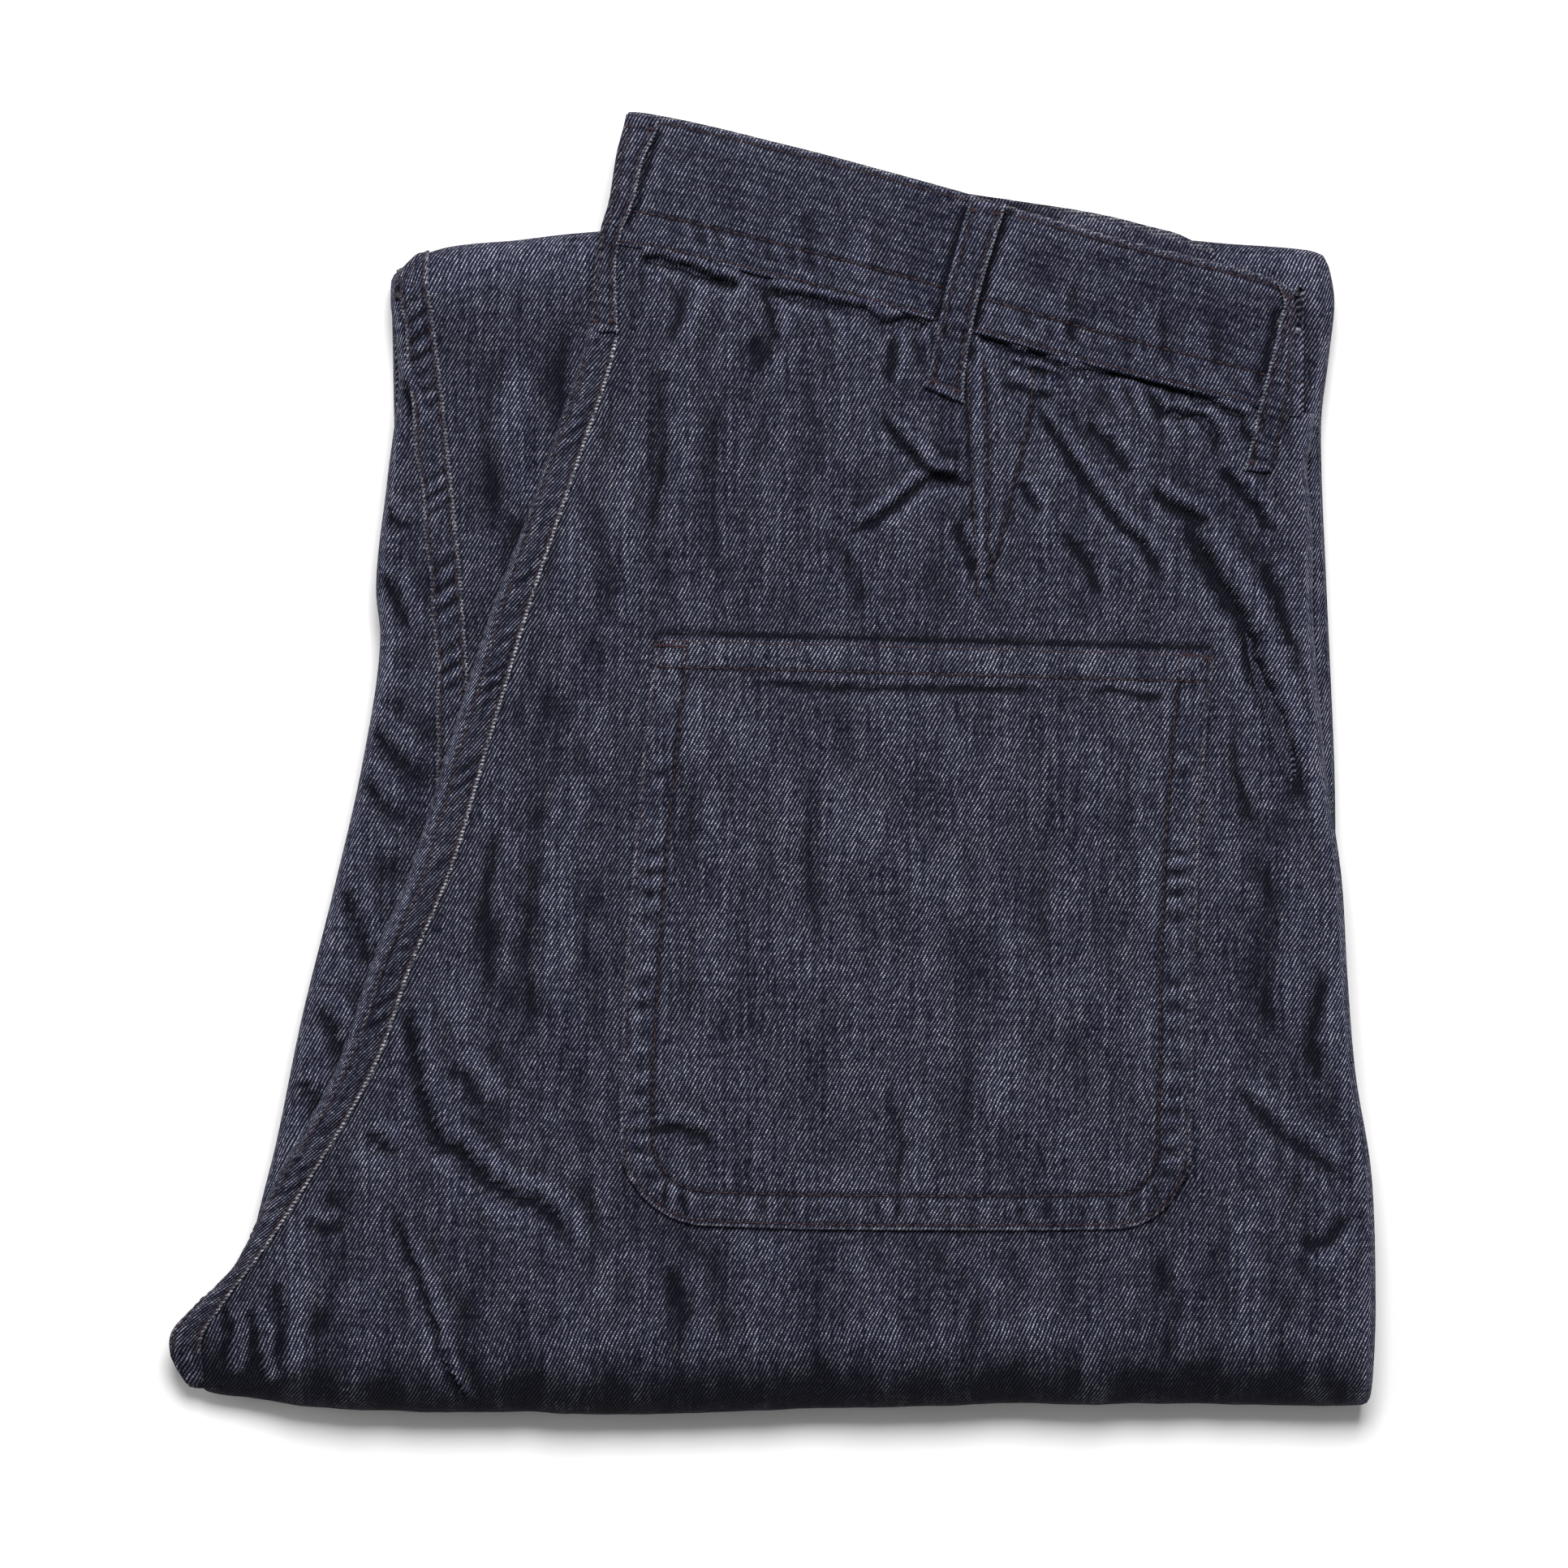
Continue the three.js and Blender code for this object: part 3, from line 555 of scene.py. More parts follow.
# Right back panel
seatPanel = dict(
    name="seatPanelCloth", node="back_right", grid=(184, 262), wall=pack["wall"], cut=(362, 392, 0.82),
    foldOut=26.0, foldLow=13.0, tuck=24.0, lift=2.4, turn=2.5, under=8.0, underSeam=3.0,
    waist=(160.4, 108.4), fold=(-178.0, 185.4), tucked=(-168.0, 183.5), narrows=6.0,
    flatShare=0.815, turnShare=0.945,
    # the grid's rows are closer where the cloth creases
    rows=[(0, 0), (0.03, 0.058), (0.17, 0.185), (0.25, 0.26), (0.58, 0.72), (1, 1)],
)
dart = dict(
    left=[(59.9, 125.1), (61.8, 90), (63.6, 50.4)],
    middle=[(65.6, 123.9), (66.2, 90), (66.6, 57.4)],
    right=[(80.6, 125.1), (79.9, 109.9), (76.1, 92.6), (73.6, 82.9), (69.9, 67.1), (66.6, 57.4)],
    raised=0.85,
)
dartLines = ("left", "middle", "right")
pocketBox = dict(
    left=-46.0, right=136.0, foot=-143.0, mouth=39.0, clear=9.0,
    mouthEnds=(39.6, 34.8), mouthX=(-35.8, 136.5),
)
seatCreases = [
    # under the waistband
    crease(
        [(-40.9, 156.2), (-32.6, 154.6), (-24.4, 152.1), (-15.9, 148.6), (-9, 147.5)], 1.3, 3.0, 1.4,
        fade=0.1,
    ),
    crease(
        [(-1.9, 147.9), (3.1, 144.6), (9.9, 143.4), (19.9, 141.1), (28.1, 139.6), (34.1, 134.9),
         (40.6, 136.6), (49.1, 134.1)], 1.4, 3.0, 1.4, fade=0.1,
    ),
    crease(
        [(62.4, 132.4), (70.4, 129.4), (77.4, 126.4), (82.4, 125.9), (86.9, 123.4), (93.4, 120.9),
         (101.4, 119.9), (107.4, 120.9), (113.4, 119.4), (120.4, 116.4), (127.4, 114.4), (137.4, 110.4),
         (148.4, 105.4)], 1.1, 2.0, 0.7, fade=0.06,
    ),
    crease([(72, 124.5), (79, 122), (86, 120.5), (92, 118)], 0.9, 1.2, 0.6),
    crease(
        [(116.4, 116), (120.4, 108.4), (127.4, 107.4), (133.4, 106.4), (137, 101), (138, 93.4)],
        1.2, 1.7, 0.9,
    ),
    crease([(144, 106), (148, 99), (149, 92)], 1.1, 1.4, 0.6),
    crease([(-3, 150), (0, 140), (2, 128)], 1.5, 0.8, 0.8),
    crease([(37, 138), (38, 128), (36, 116)], 1.6, 0.7, 0.7),
    crease([(-26, 152), (-27, 142), (-31, 128)], 1.8, 0.4, 0.6),
    # round the dart
    crease([(34, 108), (37.4, 102.4), (43.4, 95.4), (49.4, 89.4), (58.4, 86.6), (63, 87)], 1.4, 2.1, 0.8),
    crease(
        [(62, 88), (57, 88.6), (47.4, 87.4), (41.4, 82.4), (35, 77), (22.6, 70.1)], 1.3, 1.5, 0.7,
        side=-1,
    ),
    crease(
        [(80.4, 112.4), (82.4, 108.4), (87.4, 101.4), (93.4, 91.4), (99.4, 83.4), (107.4, 73.4), (114, 68),
         (122, 55)], 1.5, 1.9, 0.9,
    ),
    crease([(76.1, 87.6), (80, 81), (83.4, 76.9)], 1.3, 1.3, 0.7),
    crease([(56.4, 75.4), (60, 66), (63.9, 55.4)], 1.4, 1.2, 0.7),
    crease([(70, 118), (80, 114), (88, 113)], 1.2, 0.8, 0.5),
    crease([(116, 86), (122, 80), (128, 77), (136, 73)], 1.7, 1.8, 1.0),
    crease([(137.4, 92.4), (143.4, 85.4), (149, 79), (155, 70)], 1.5, 1.6, 0.9),
    crease([(96, 106), (104, 98), (112, 88)], 1.7, 0.8, 0.5),
    crease([(88, 74), (97, 62), (102, 50)], 1.9, 0.7, 0.4),
    crease([(17, 73), (26, 58), (30, 46)], 3.0, 0.5, 0.3),
    crease([(-8, 133), (-3, 127), (3, 124)], 4.5, 1.2, 0.0, fade=0.4),
    # the long fold beside the pocket
    crease(
        [(124, 82), (132.1, 65.6), (137.4, 56.1), (143.9, 45.9), (146.9, 38.6), (149.1, 29.1),
         (153.4, 19.6), (156.4, 12), (159.6, 3), (162.6, -7), (165, -17)],
        2.6, 2.4, 2.0, reach=1.7, fade=0.2,
    ),
    crease([(150, 64), (156, 50), (160, 34)], 2.4, 0.9, 0.8),
    crease([(139, 12), (143, -6), (150, -22)], 2.8, 0.5, 0.35),
    crease([(140, -96), (155, -112), (168, -121), (180, -130)], 2.2, 0.6, 0.4),
    crease([(148, -20), (154, -44), (152, -70), (158, -92)], 3.6, 0.4, 0.35),
    crease([(172, -60), (166, -84), (170, -100)], 2.4, 0.6, 0.4),
    crease([(178, -138), (172, -146), (162, -150)], 2.5, 0.9, 0.5),
    # lower left
    crease(
        [(-112, -72), (-109.6, -90.1), (-107.6, -100.1), (-104.6, -110.1), (-102, -116.1), (-96.6, -118.1),
         (-91.6, -123.1), (-86.6, -128.1), (-80.6, -132.1), (-72.6, -134.1), (-64.6, -141.1), (-60, -150)],
        1.9, 1.9, 0.9, fade=0.15,
    ),
    crease(
        [(-116.6, -134), (-112.6, -147.1), (-108.6, -156.1), (-105.6, -165.1), (-102.6, -174.1),
         (-100.6, -182.1), (-96.6, -190.1), (-90.6, -198)], 1.0, 1.7, 0.8,
    ),
    crease([(-148, -166), (-138, -173), (-124, -180)], 8.0, 1.0, 0.0, fade=0.4),
    crease([(-167.6, -165), (-167, -174), (-168.6, -186)], 1.3, 1.6, 0.8),
    crease([(-160, -166), (-159, -178), (-157, -190)], 1.5, 1.4, 0.9),
    crease([(-152, -158), (-150, -172), (-152, -186)], 2.0, 0.9, 0.8),
    crease([(-124, -112), (-119, -117), (-114, -119)], 1.6, 1.0, 0.6),
    crease([(-143, -139), (-138, -143), (-131, -141)], 1.4, 1.0, 0.5),
    crease([(-99, -92), (-93, -96), (-89, -106)], 2.0, 0.9, 0.6),
    # soft upright folds
    crease([(-70, 6), (-74, -30), (-76, -64), (-70, -98)], 5.0, 0.55, 0.4, reach=1.2),
    crease([(-84, -14), (-88, -44), (-86, -76)], 3.2, 0.45, 0.35),
    crease([(-58, 96), (-50, 60), (-52, 24)], 4.5, 0.5, 0.4, reach=1.2),
    crease([(-36, 132), (-34, 96), (-39, 66)], 3.8, 0.5, 0.4, reach=1.2),
    crease([(-16, 118), (-19, 90), (-17, 58)], 3.2, 0.35, 0.3),
    crease([(-58, -120), (-54, -146), (-59, -170)], 3.4, 0.3, 0.3),
    crease([(-30, -152), (-27, -168), (-31, -184)], 3.0, 0.25, 0.25),
    crease([(60, -152), (64, -170), (61, -186)], 3.5, 0.25, 0.25),
    crease([(118, -150), (124, -168), (121, -184)], 3.2, 0.3, 0.25),
]


def seatRelief(x, y):
    outX = np.maximum(np.maximum(pocketBox["left"] - x, x - pocketBox["right"]), 0)
    outY = np.maximum(np.maximum(pocketBox["foot"] - y, y - pocketBox["mouth"]), 0)
    clear = smooth(np.hypot(outX, outY), 0.5, pocketBox["clear"])  # flat where the pocket is sewn on
    soft = 0.5 * waves(x, y, 70, 3) + 0.26 * waves(x, y * 0.4, 30, 4) * (0.3 + 0.7 * clear)
    fine = (0.08 * waves(x, y * 0.55, 9, 5) + 0.1 * waves(x + 0.2 * y, y * 0.3, 16, 6)) * clear
    height = soft + fine + creased(x, y, seatCreases) * clear
    fromWaist = along(waistSeam, x) - y
    gathers = smooth(-np.abs(fromWaist - 7), -11, 0)
    height = height + gathers * 0.8 * puckers(x + 0.3 * y, 8.0, 21) - 0.9 * smooth(fromWaist, 3.5, 0)
    (leftOf, share), (midOf, _), (rightOf, _) = [fromPath(x, y, dart[line]) for line in dartLines]
    wedge = smooth(leftOf, -0.4, 0.4) * smooth(-rightOf, -0.6, 0.6)
    wedge = wedge * smooth(share, 0, 0.02) * smooth(1 - share, 0, 0.15)
    down = smooth(128 - y, 0, 3) * smooth(y - 48, 0, 6)
    ridge = bell(midOf + 2.4, 2.2) * down
    grooves = sum(bell(away, 1.1) for away in (leftOf, midOf, rightOf)) * down
    height = height + dart["raised"] * (0.5 * wedge * down + ridge) - 0.75 * grooves
    return height


def seatSurface(u, v):
    p = seatPanel
    v = np.interp(v, *zip(*p["rows"]))

    def front(at):
        return along(seatFoldFront, at)

    t = np.clip((1 - v) / p["flatShare"], 0, 1)
    total = foldLength(p["foldOut"], p["foldLow"], pack["height"] / 2)
    q = np.maximum(0, (1 - v - p["flatShare"]) / (1 - p["flatShare"])) * (total + p["tuck"])
    turning, under = np.clip(q / total, 0, 1), np.clip((q - total) / p["tuck"], 0, 1)
    startLeft, startRight = [front(x) + p["foldOut"] for x in p["fold"]]
    leftY, rightY = lerp(p["waist"][0], startLeft, t), lerp(p["waist"][1], startRight, t)
    onFold = smooth(turning, 0, 0.4)
    leftX = lerp(along(seatSeam, leftY) - p["underSeam"], p["fold"][0], onFold)
    leftX = leftX + (p["tucked"][0] - p["fold"][0]) * smooth(turning, 0.3, 1) + p["narrows"] * under
    rightX = along(sideFold, rightY) + (p["tucked"][1] - p["fold"][1]) * turning
    past = (u - p["turnShare"]) / (1 - p["turnShare"]) * (math.pi * p["turn"] + p["under"])
    out, down = turnedEdge(past, p["turn"])
    flatX = lerp(leftX, rightX - p["turn"], np.minimum(u / p["turnShare"], 1))
    x = np.where(past < 0, flatX, rightX - p["turn"] + out)
    share = (x - leftX) / (rightX - leftX)
    waistBow = along(waistSeam, x) - lerp(p["waist"][0], p["waist"][1], share)
    foldBow = front(x) + p["foldOut"] - lerp(startLeft, startRight, share)
    y = lerp(leftY, rightY, share) + waistBow * (1 - t) ** 4 + foldBow * t**4
    behind, high, ny, nz = foldPath(q, p["foldOut"], p["foldLow"], pack["height"] / 2)
    clothY = np.where(q > 0, y - q, y)
    raised = seatRelief(x, clothY) * (1 - smooth(past, -6, 0)) * (1 - smooth(turning, 0.35, 0.8))
    raised = raised * (0.15 + 0.85 * smooth(x - along(seatSeam, clothY), 0.5, 8)) - down * (1 - under)
    y = np.where(q > 0, front(x) + behind, y) - ny * raised
    z = pack["height"] / 2 + high + nz * raised + p["lift"] * smooth(under, 0.35, 1)
    cloth = (x + np.maximum(0, past), clothY)
    start, end = pocketBox["mouthX"]
    overMouth = y - lerp(*pocketBox["mouthEnds"], (x - start) / (end - start))
    mouthShadow = 0.95 * bell(overMouth - 0.9, 1.3) * smooth(x, start, start + 2) * smooth(-x, -end, 2 - end)
    # painted shade: darker as the cloth turns down round the fold under the seat, and a painted shadow just
    # above the pocket mouth
    return (x, y, settle(x, y, z)), cloth, -1.25 * smooth(q, 0, 18) - mouthShadow


print("seat panel")
makeCloth(seatPanel, seatSurface, bodyDenim)

# Left back panel where it turns under along the seat seam, and the felled seam on it
seatLip = dict(
    name="seatEdgeCloth", node="back_left", grid=(20, 200), wall=1.0, cut=(28, 372, 0.93),
    bottom=14.6, curl=5.0, under=7.0, lower=-193.0, upper=160.5,
)
seatFell = dict(
    name="seatFellCloth", node="seat_seam", grid=(14, 336), wall=0.8, cut=(10.5, 348, 0.95),
    width=9.6, raised=1.3, edge=0.7, lower=-192.0, upper=131.0,
)
fellLines = (1.5, 8.3)  # stitch lines, from the folded edge


def seatLipHalf(y):
    # half the height of the rolled edge, and its top, which falls round the fold under the seat
    middle = pack["height"] / 2
    inFold = np.clip((along(seatFoldFront, -180.0) + seatPanel["foldOut"] - y) / seatPanel["foldOut"], 0, 1)
    top = middle * (1 + np.sqrt(1 - 0.96 * inFold**2))
    return (top - np.minimum(seatLip["bottom"], top - 7)) / 2, top


def seatLipPlace(y, run, raised):
    over = along(seatRoll, y)
    curl = np.minimum(seatLip["curl"], over)
    half, top = seatLipHalf(y)
    behind, high, nx, nz = foldPath(run - (over - curl), curl, curl, half)
    x = along(seatSeam, y) - over + behind - nx * raised
    return x, y, settle(x, y, top - half + high + nz * raised)


def seatLipSurface(u, v):
    y = lerp(seatLip["lower"], seatLip["upper"], v)
    over = along(seatRoll, y)
    curl = np.minimum(seatLip["curl"], over)
    half, _ = seatLipHalf(y)
    run = (1 - u) * (over - curl + foldLength(curl, curl, half) + seatLip["under"])
    raised = 0.15 * waves(y, run, 22, 31) * smooth(run, 0, 6)
    # painted shade: the whole turned edge a little darker
    return seatLipPlace(y, run, raised), (-run, y), -0.3 + 0 * y


def seatFellSurface(u, v):
    y = lerp(seatFell["lower"], seatFell["upper"], v)
    width = np.minimum(seatFell["width"], along(seatRoll, y) + 2.5) + 0.35 * waves(y, 0 * y, 40, 33)
    edge = seatFell["edge"] + 1.6 * smooth(-y, 158, 170)
    run = (1 - u) * width - edge
    inside = run + edge
    ripple = 0.46 * puckers(y + 0.7 * run, 6.6, 35) * bell(inside - width / 2, width * 0.42)
    channels = sum(0.5 * bell(inside - line, 0.9) for line in fellLines)
    raised = seatFell["raised"] + ripple - channels
    raised = raised - edgeDrop(inside, 0.6) * 0.7 - edgeDrop(width - inside, 0.9) * 0.8
    # pale wear along the folded edge, gone near the fold under the seat; painted shade across the rest of
    # the strip
    wearAndShade = 1.3 * bell(inside, 0.7) * smooth(y, -188, -160) - 0.22 * smooth(inside, 1.5, 3)
    return seatLipPlace(y, run, raised), (-run, y), wearAndShade


print("seat seam")
makeCloth(seatLip, seatLipSurface, bodyDenim)
makeCloth(seatFell, seatFellSurface, bodyDenim)

# Left leg: back panel, the sliver of front panel beside its inseam, and the felled inseam
leg = dict(
    upperEnd=-150.0, foldOut=10.0, foldLow=7.0, turn=1.9, under=6.0, flatShare=0.475,
    hemStart=151.0,
)
legPanel = dict(
    name="legPanelCloth", node="leg_left_back", grid=(120, 250), wall=pack["wall"], cut=(312, 640, 0.94),
    turnShare=0.955, upper=151.0, underLeft=(-110.0, -104.0), underRight=(170.0, 162.0),
)
legSliver = dict(
    name="legSliverCloth", node="leg_left_front", grid=(22, 240), wall=pack["wall"], cut=(62, 640, 0.5),
    turnShare=0.3, upper=150.0, underLeft=(-118.0, -112.0), underRight=(-110.5, -104.5),
)
inseamFell = dict(
    name="inseamFellCloth", node="inseam", grid=(14, 170), wall=0.8, cut=(11.5, 236, 0.95),
    width=10.2, raised=1.2, lower=-60.0, over=14.0, lines=(1.7, 8.7),
)
legCreases = [
    crease([(-62, 150), (-66, 120), (-63, 92), (-68, 60)], 4.0, 0.35, 0.3),
    crease([(-84, 134), (-88, 104), (-84, 70)], 3.4, 0.3, 0.3),
    crease([(-76, 84), (-82, 60), (-80, 30)], 4.5, 0.4, 0.3),
    crease([(166, 120), (163, 84), (167, 46)], 3.0, 0.8, 0.6),
    crease([(-110, -20), (-116, -50), (-120, -80)], 3.0, 0.8, 0.7),
]
sliverCreases = [
    crease([(-118.5, 126), (-113.7, 117.5), (-110.4, 108), (-106, 98)], 1.4, 1.3, 0.8),
    crease([(-122, 84), (-117, 76), (-112, 74)], 1.4, 1.2, 0.7),
    crease([(-121, 60), (-115, 51), (-112, 40)], 1.6, 1.2, 0.8),
    crease([(-125, 14), (-117, 4), (-110, -2)], 1.8, 1.4, 0.9),
    crease([(-127, -2), (-120, -12), (-113, -16)], 1.7, 1.2, 0.8),
    crease([(-133, -36), (-127, -50), (-124, -64)], 1.8, 1.0, 0.7),
    crease([(-141, -72), (-134, -84), (-130, -100)], 2.0, 1.0, 0.7),
    crease([(-147, -96), (-140, -104), (-136, -116)], 2.0, 1.1, 0.7),
]


def legPlace(x, level, q, raised):
    # a point of the left leg, by its level under the seat and its length past the start of the knee fold
    half = pack["legs"] / 2
    behind, high, ny, nz = foldPath(q, leg["foldOut"], leg["foldLow"], half)
    total = foldLength(leg["foldOut"], leg["foldLow"], half)
    back = np.clip((q - total) / (leg["hemStart"] - pack["hem"]), 0, 1)
    front = lerp(along(kneeFoldFront, x), leg["hemStart"] + leg["foldLow"], smooth(back, 0, 0.6))
    y = np.where(q > 0, front - behind, level) + ny * raised
    return x, y, settle(x, y, half + high + nz * raised)


def legRun(v):
    # by the share of the panel's length: how much of the upper leg is behind, and the length past the start
    # of the fold, and the shares of that length round the fold and under the pack
    total = foldLength(leg["foldOut"], leg["foldLow"], pack["legs"] / 2)
    hidden = leg["hemStart"] - pack["hem"]
    past = np.maximum(0, (v - leg["flatShare"]) / (1 - leg["flatShare"]))
    q = past * (total + hidden)
    shares = (v / leg["flatShare"], q / total, (q - total) / hidden)
    flat, turning, back = [np.clip(share, 0, 1) for share in shares]
    return flat, q, turning, back


def legEdges(p, v, left, right):
    # a leg panel's two edges, which swing to their places under the pack as they go round the fold
    flat, _, turning, back = legRun(v)
    level = lerp(leg["upperEnd"], p["upper"], flat)
    sides = ((left(level), p["underLeft"]), (right(level), p["underRight"]))
    return [lerp(lerp(edge, under[0], turning), under[1], back) for edge, under in sides]


def legCloth(x, v):
    # where on the leg a point of its cloth lies: its level, its length past the fold's start, how far round
    # the fold it is, and its place along the cloth
    flat, q, turning, _ = legRun(v)
    start = along(kneeFoldFront, x) - leg["foldOut"]
    level = lerp(leg["upperEnd"], start, flat)
    return level, q, turning, np.where(q > 0, start + q, level)


def legPanelSurface(u, v):
    leftX, rightX = legEdges(legPanel, v, lambda y: along(inseam, y) - 2, lambda y: along(legRightEdge, y))
    share = legPanel["turnShare"]
    past = (u - share) / (1 - share) * (math.pi * leg["turn"] + leg["under"])
    out, down = turnedEdge(past, leg["turn"])
    flatX = lerp(leftX, rightX - leg["turn"], np.minimum(u / share, 1))
    x = np.where(past < 0, flatX, rightX - leg["turn"] + out)
    level, q, turning, clothY = legCloth(x, v)
    soft = 0.35 * waves(x, level, 60, 41) + 0.1 * waves(x, level * 0.6, 22, 42)
    soft = soft + creased(x, level, legCreases)
    raised = soft * (1 - smooth(turning, 0.3, 1)) * (1 - smooth(past, -3, 1)) - down
    return legPlace(x, level, q, raised), (x + np.maximum(0, past), clothY), 0 * x


def legSliverSurface(u, v):
    leftX, rightX = legEdges(legSliver, v, lambda y: along(legLeftEdge, y), lambda y: along(inseam, y) - 0.5)
    share = legSliver["turnShare"]
    past = (share - u) / share * (math.pi * leg["turn"] + leg["under"])
    out, down = turnedEdge(past, leg["turn"])
    flatX = lerp(leftX + leg["turn"], rightX, np.clip((u - share) / (1 - share), 0, 1))
    x = np.where(past < 0, flatX, leftX + leg["turn"] - out)
    level, q, turning, clothY = legCloth(x, v)
    soft = 0.14 * waves(x, level, 18, 44) + creased(x, level, sliverCreases)
    raised = soft * (1 - smooth(turning, 0.3, 1)) * (1 - smooth(past, -2, 3)) - down
    return legPlace(x, level, q, raised), (x - np.maximum(0, past), clothY), 0 * x


def inseamSurface(u, v):
    p = inseamFell
    start = along(kneeFoldFront, -108.0) - leg["foldOut"]
    run = lerp(p["lower"], start + p["over"], v)
    level, q = np.minimum(run, start), np.maximum(0, run - start)
    width = p["width"] + 0.4 * waves(run, 0 * run, 35, 46)
    inside = (1 - u) * width
    x = along(inseam, level) + 0.5 - inside
    ripple = 0.6 * puckers(run + 0.6 * inside, 6.0, 47) * bell(inside - width / 2, width * 0.42)
    channels = sum(0.5 * bell(inside - line, 0.9) for line in (1.7, width - 1.5))
    edges = 0.7 * (edgeDrop(inside, 0.6) + edgeDrop(width - inside, 0.6))
    raised = p["raised"] + ripple - channels - edges
    wearAndShade = 0.45 * bell(inside, 0.7) + 0.3 * bell(width - inside, 0.7)
    return legPlace(x, level, q, raised), (x, run), wearAndShade


print("left leg")
makeCloth(legPanel, legPanelSurface, legDenim)
makeCloth(legSliver, legSliverSurface, legDenim)
makeCloth(inseamFell, inseamSurface, legDenim)

# Patch pocket
pocket = dict(
    name="pocketCloth", node="pocket_back_right", grid=(150, 160), wall=1.0, cut=(206, 212, 0.93),
    left=[(40, -35.8), (-14, -41.5), (-65, -45.3), (-100, -47), (-145, -46.5)],  # y, x
    right=[(36, 136.5), (-14, 132.3), (-65, 130.3), (-102, 129.8), (-145, 128)],
    mouth=pocketBox["mouthEnds"], foot=(-141.0, -142.4), footX=(-46.5, 128.0), corner=26.0, squeeze=0.85,
    sag=1.6, cornerRows=0.2, top=1.7, lines=(1.7, 10.6), mouthLines=(1.6, 9.6), gape=0.8,
)
pocketCreases = [
    crease(
        [(-46, -116), (-35, -112), (-28, -111.4), (-20, -114.6), (-12, -121)], 1.7, 0.7, 0.45, fade=0.45,
    ),
    crease(
        [(-12, 26.9), (4.6, 24.6), (21.6, 23.6), (46, 23.4), (71.6, 23.4), (83.1, 22.6), (92, 24)],
        1.4, 0.55, 0.3,
    ),
    crease([(96, 22), (104, 23.4), (116, 20.5), (124, 21.6)], 1.3, 0.45, 0.3),
    crease([(-24, -2), (-27, -40), (-25, -84)], 4.0, 0.4, 0.3),
    crease([(14, 6), (11, -30), (16, -66)], 4.0, 0.45, 0.4),
    crease([(58, -40), (62, -84), (57, -122)], 4.5, 0.45, 0.4),
    crease([(112, 12), (108, -24), (111, -60)], 4.0, 0.4, 0.3),
    crease([(36, -98), (40, -118), (37, -134)], 3.0, 0.4, 0.4),
    crease([(86, -6), (82, -44), (86, -70)], 4.0, 0.4, 0.4),
]


def pocketFrame(x, y):
    # how far in from the sides, foot and mouth, and from the nearest edge
    left, right = along(pocket["left"], y), along(pocket["right"], y)
    share = np.clip((x - left) / (right - left), 0, 1)
    foot = lerp(*pocket["foot"], share) - pocket["sag"] * np.sin(math.pi * share)
    mouth = lerp(*pocket["mouth"], share)
    low = y - foot
    nearest = np.minimum(np.minimum(x - left, right - x), np.minimum(low, mouth - y))
    for side, radius in ((x - left, pocket["corner"]), (right - x, pocket["corner"] * pocket["squeeze"])):
        inX, inY = np.maximum(0, radius - side), np.maximum(0, radius - low)
        rounded = radius - np.hypot(inX, inY)
        nearest = np.where((inX > 0) & (inY > 0), np.minimum(nearest, rounded), nearest)
    return np.maximum(nearest, 0), mouth - y, share


def pocketTop(x, y):
    inside, down, share = pocketFrame(x, y)
    first, second = pocket["lines"]
    edge = np.minimum(inside, down)
    around = np.where(inside < down, inside, 99)
    soft = 0.45 * waves(x, y, 46, 51) + 0.12 * waves(x, y * 0.4, 17, 52)
    soft = (soft + creased(x, y, pocketCreases)) * smooth(inside, 3, 16)
    run = np.where(np.abs(x - 44) > np.abs(y + 52) * 0.98, y, x)
    ripple = 0.6 * puckers(run, 8.0, 53) * bell(around - (first + second) / 2 - 0.5, 3.4)
    outer = 0.22 * puckers(run + 2, 8.0, 54) * bell(around - 0.5, 1.6)
    hem = 0.26 * puckers(x, 9.0, 55) * bell(down - 5.5, 3.6) + 0.45 * (1 - smooth(down, 9.5, 11.5))
    channels = 0.7 * bell(around - first, 0.9) + 0.8 * bell(around - second, 1.0)
    channels = channels + sum(0.7 * bell(down - line, 0.9) for line in pocket["mouthLines"])
    puff = 0.25 * (1 - smooth(edge, first, first + 1.5)) + 0.3 * smooth(around, second, second + 6)
    gape = pocket["gape"] * np.sin(math.pi * share) ** 2 * (1 - smooth(down, 0, 26))
    raised = pocket["top"] + soft + ripple + outer + hem - channels + puff + gape
    return pack["height"] + seatRelief(x, y) + raised - 1.15 * edgeDrop(inside, 0.8)


def pocketPlace(x, y):
    return x, y, settle(x, y, pocketTop(x, y))


def pocketSurface(u, v):
    p = pocket
    turn = np.clip(v / p["cornerRows"], 0, 1) * math.pi / 2
    tall = p["mouth"][0] - p["foot"][0]
    up = p["corner"] * (1 - np.cos(turn))
    up = up + np.maximum(0, (v - p["cornerRows"]) / (1 - p["cornerRows"])) * (tall - p["corner"])
    cut = p["corner"] * (1 - np.sin(turn))
    t = up / tall
    leftY, rightY = lerp(p["foot"][0], p["mouth"][0], t), lerp(p["foot"][1], p["mouth"][1], t)
    leftX = along(p["left"], leftY) + cut
    rightX = along(p["right"], rightY) - cut * p["squeeze"]
    x, y = lerp(leftX, rightX, u), lerp(leftY, rightY, u)
    share = (x - leftX + cut) / (rightX - leftX + cut * (1 + p["squeeze"]))
    y = y - p["sag"] * np.sin(math.pi * share) * (1 - t)
    inside, _, _ = pocketFrame(x, y)
    # pale wear round the edge, and painted shade along the top rows under the mouth, where the pocket gapes
    return pocketPlace(x, y), (x, y), 0.12 * bell(inside, 0.7) - 0.5 * bell(p["mouth"][0] - leftY, 0.9)


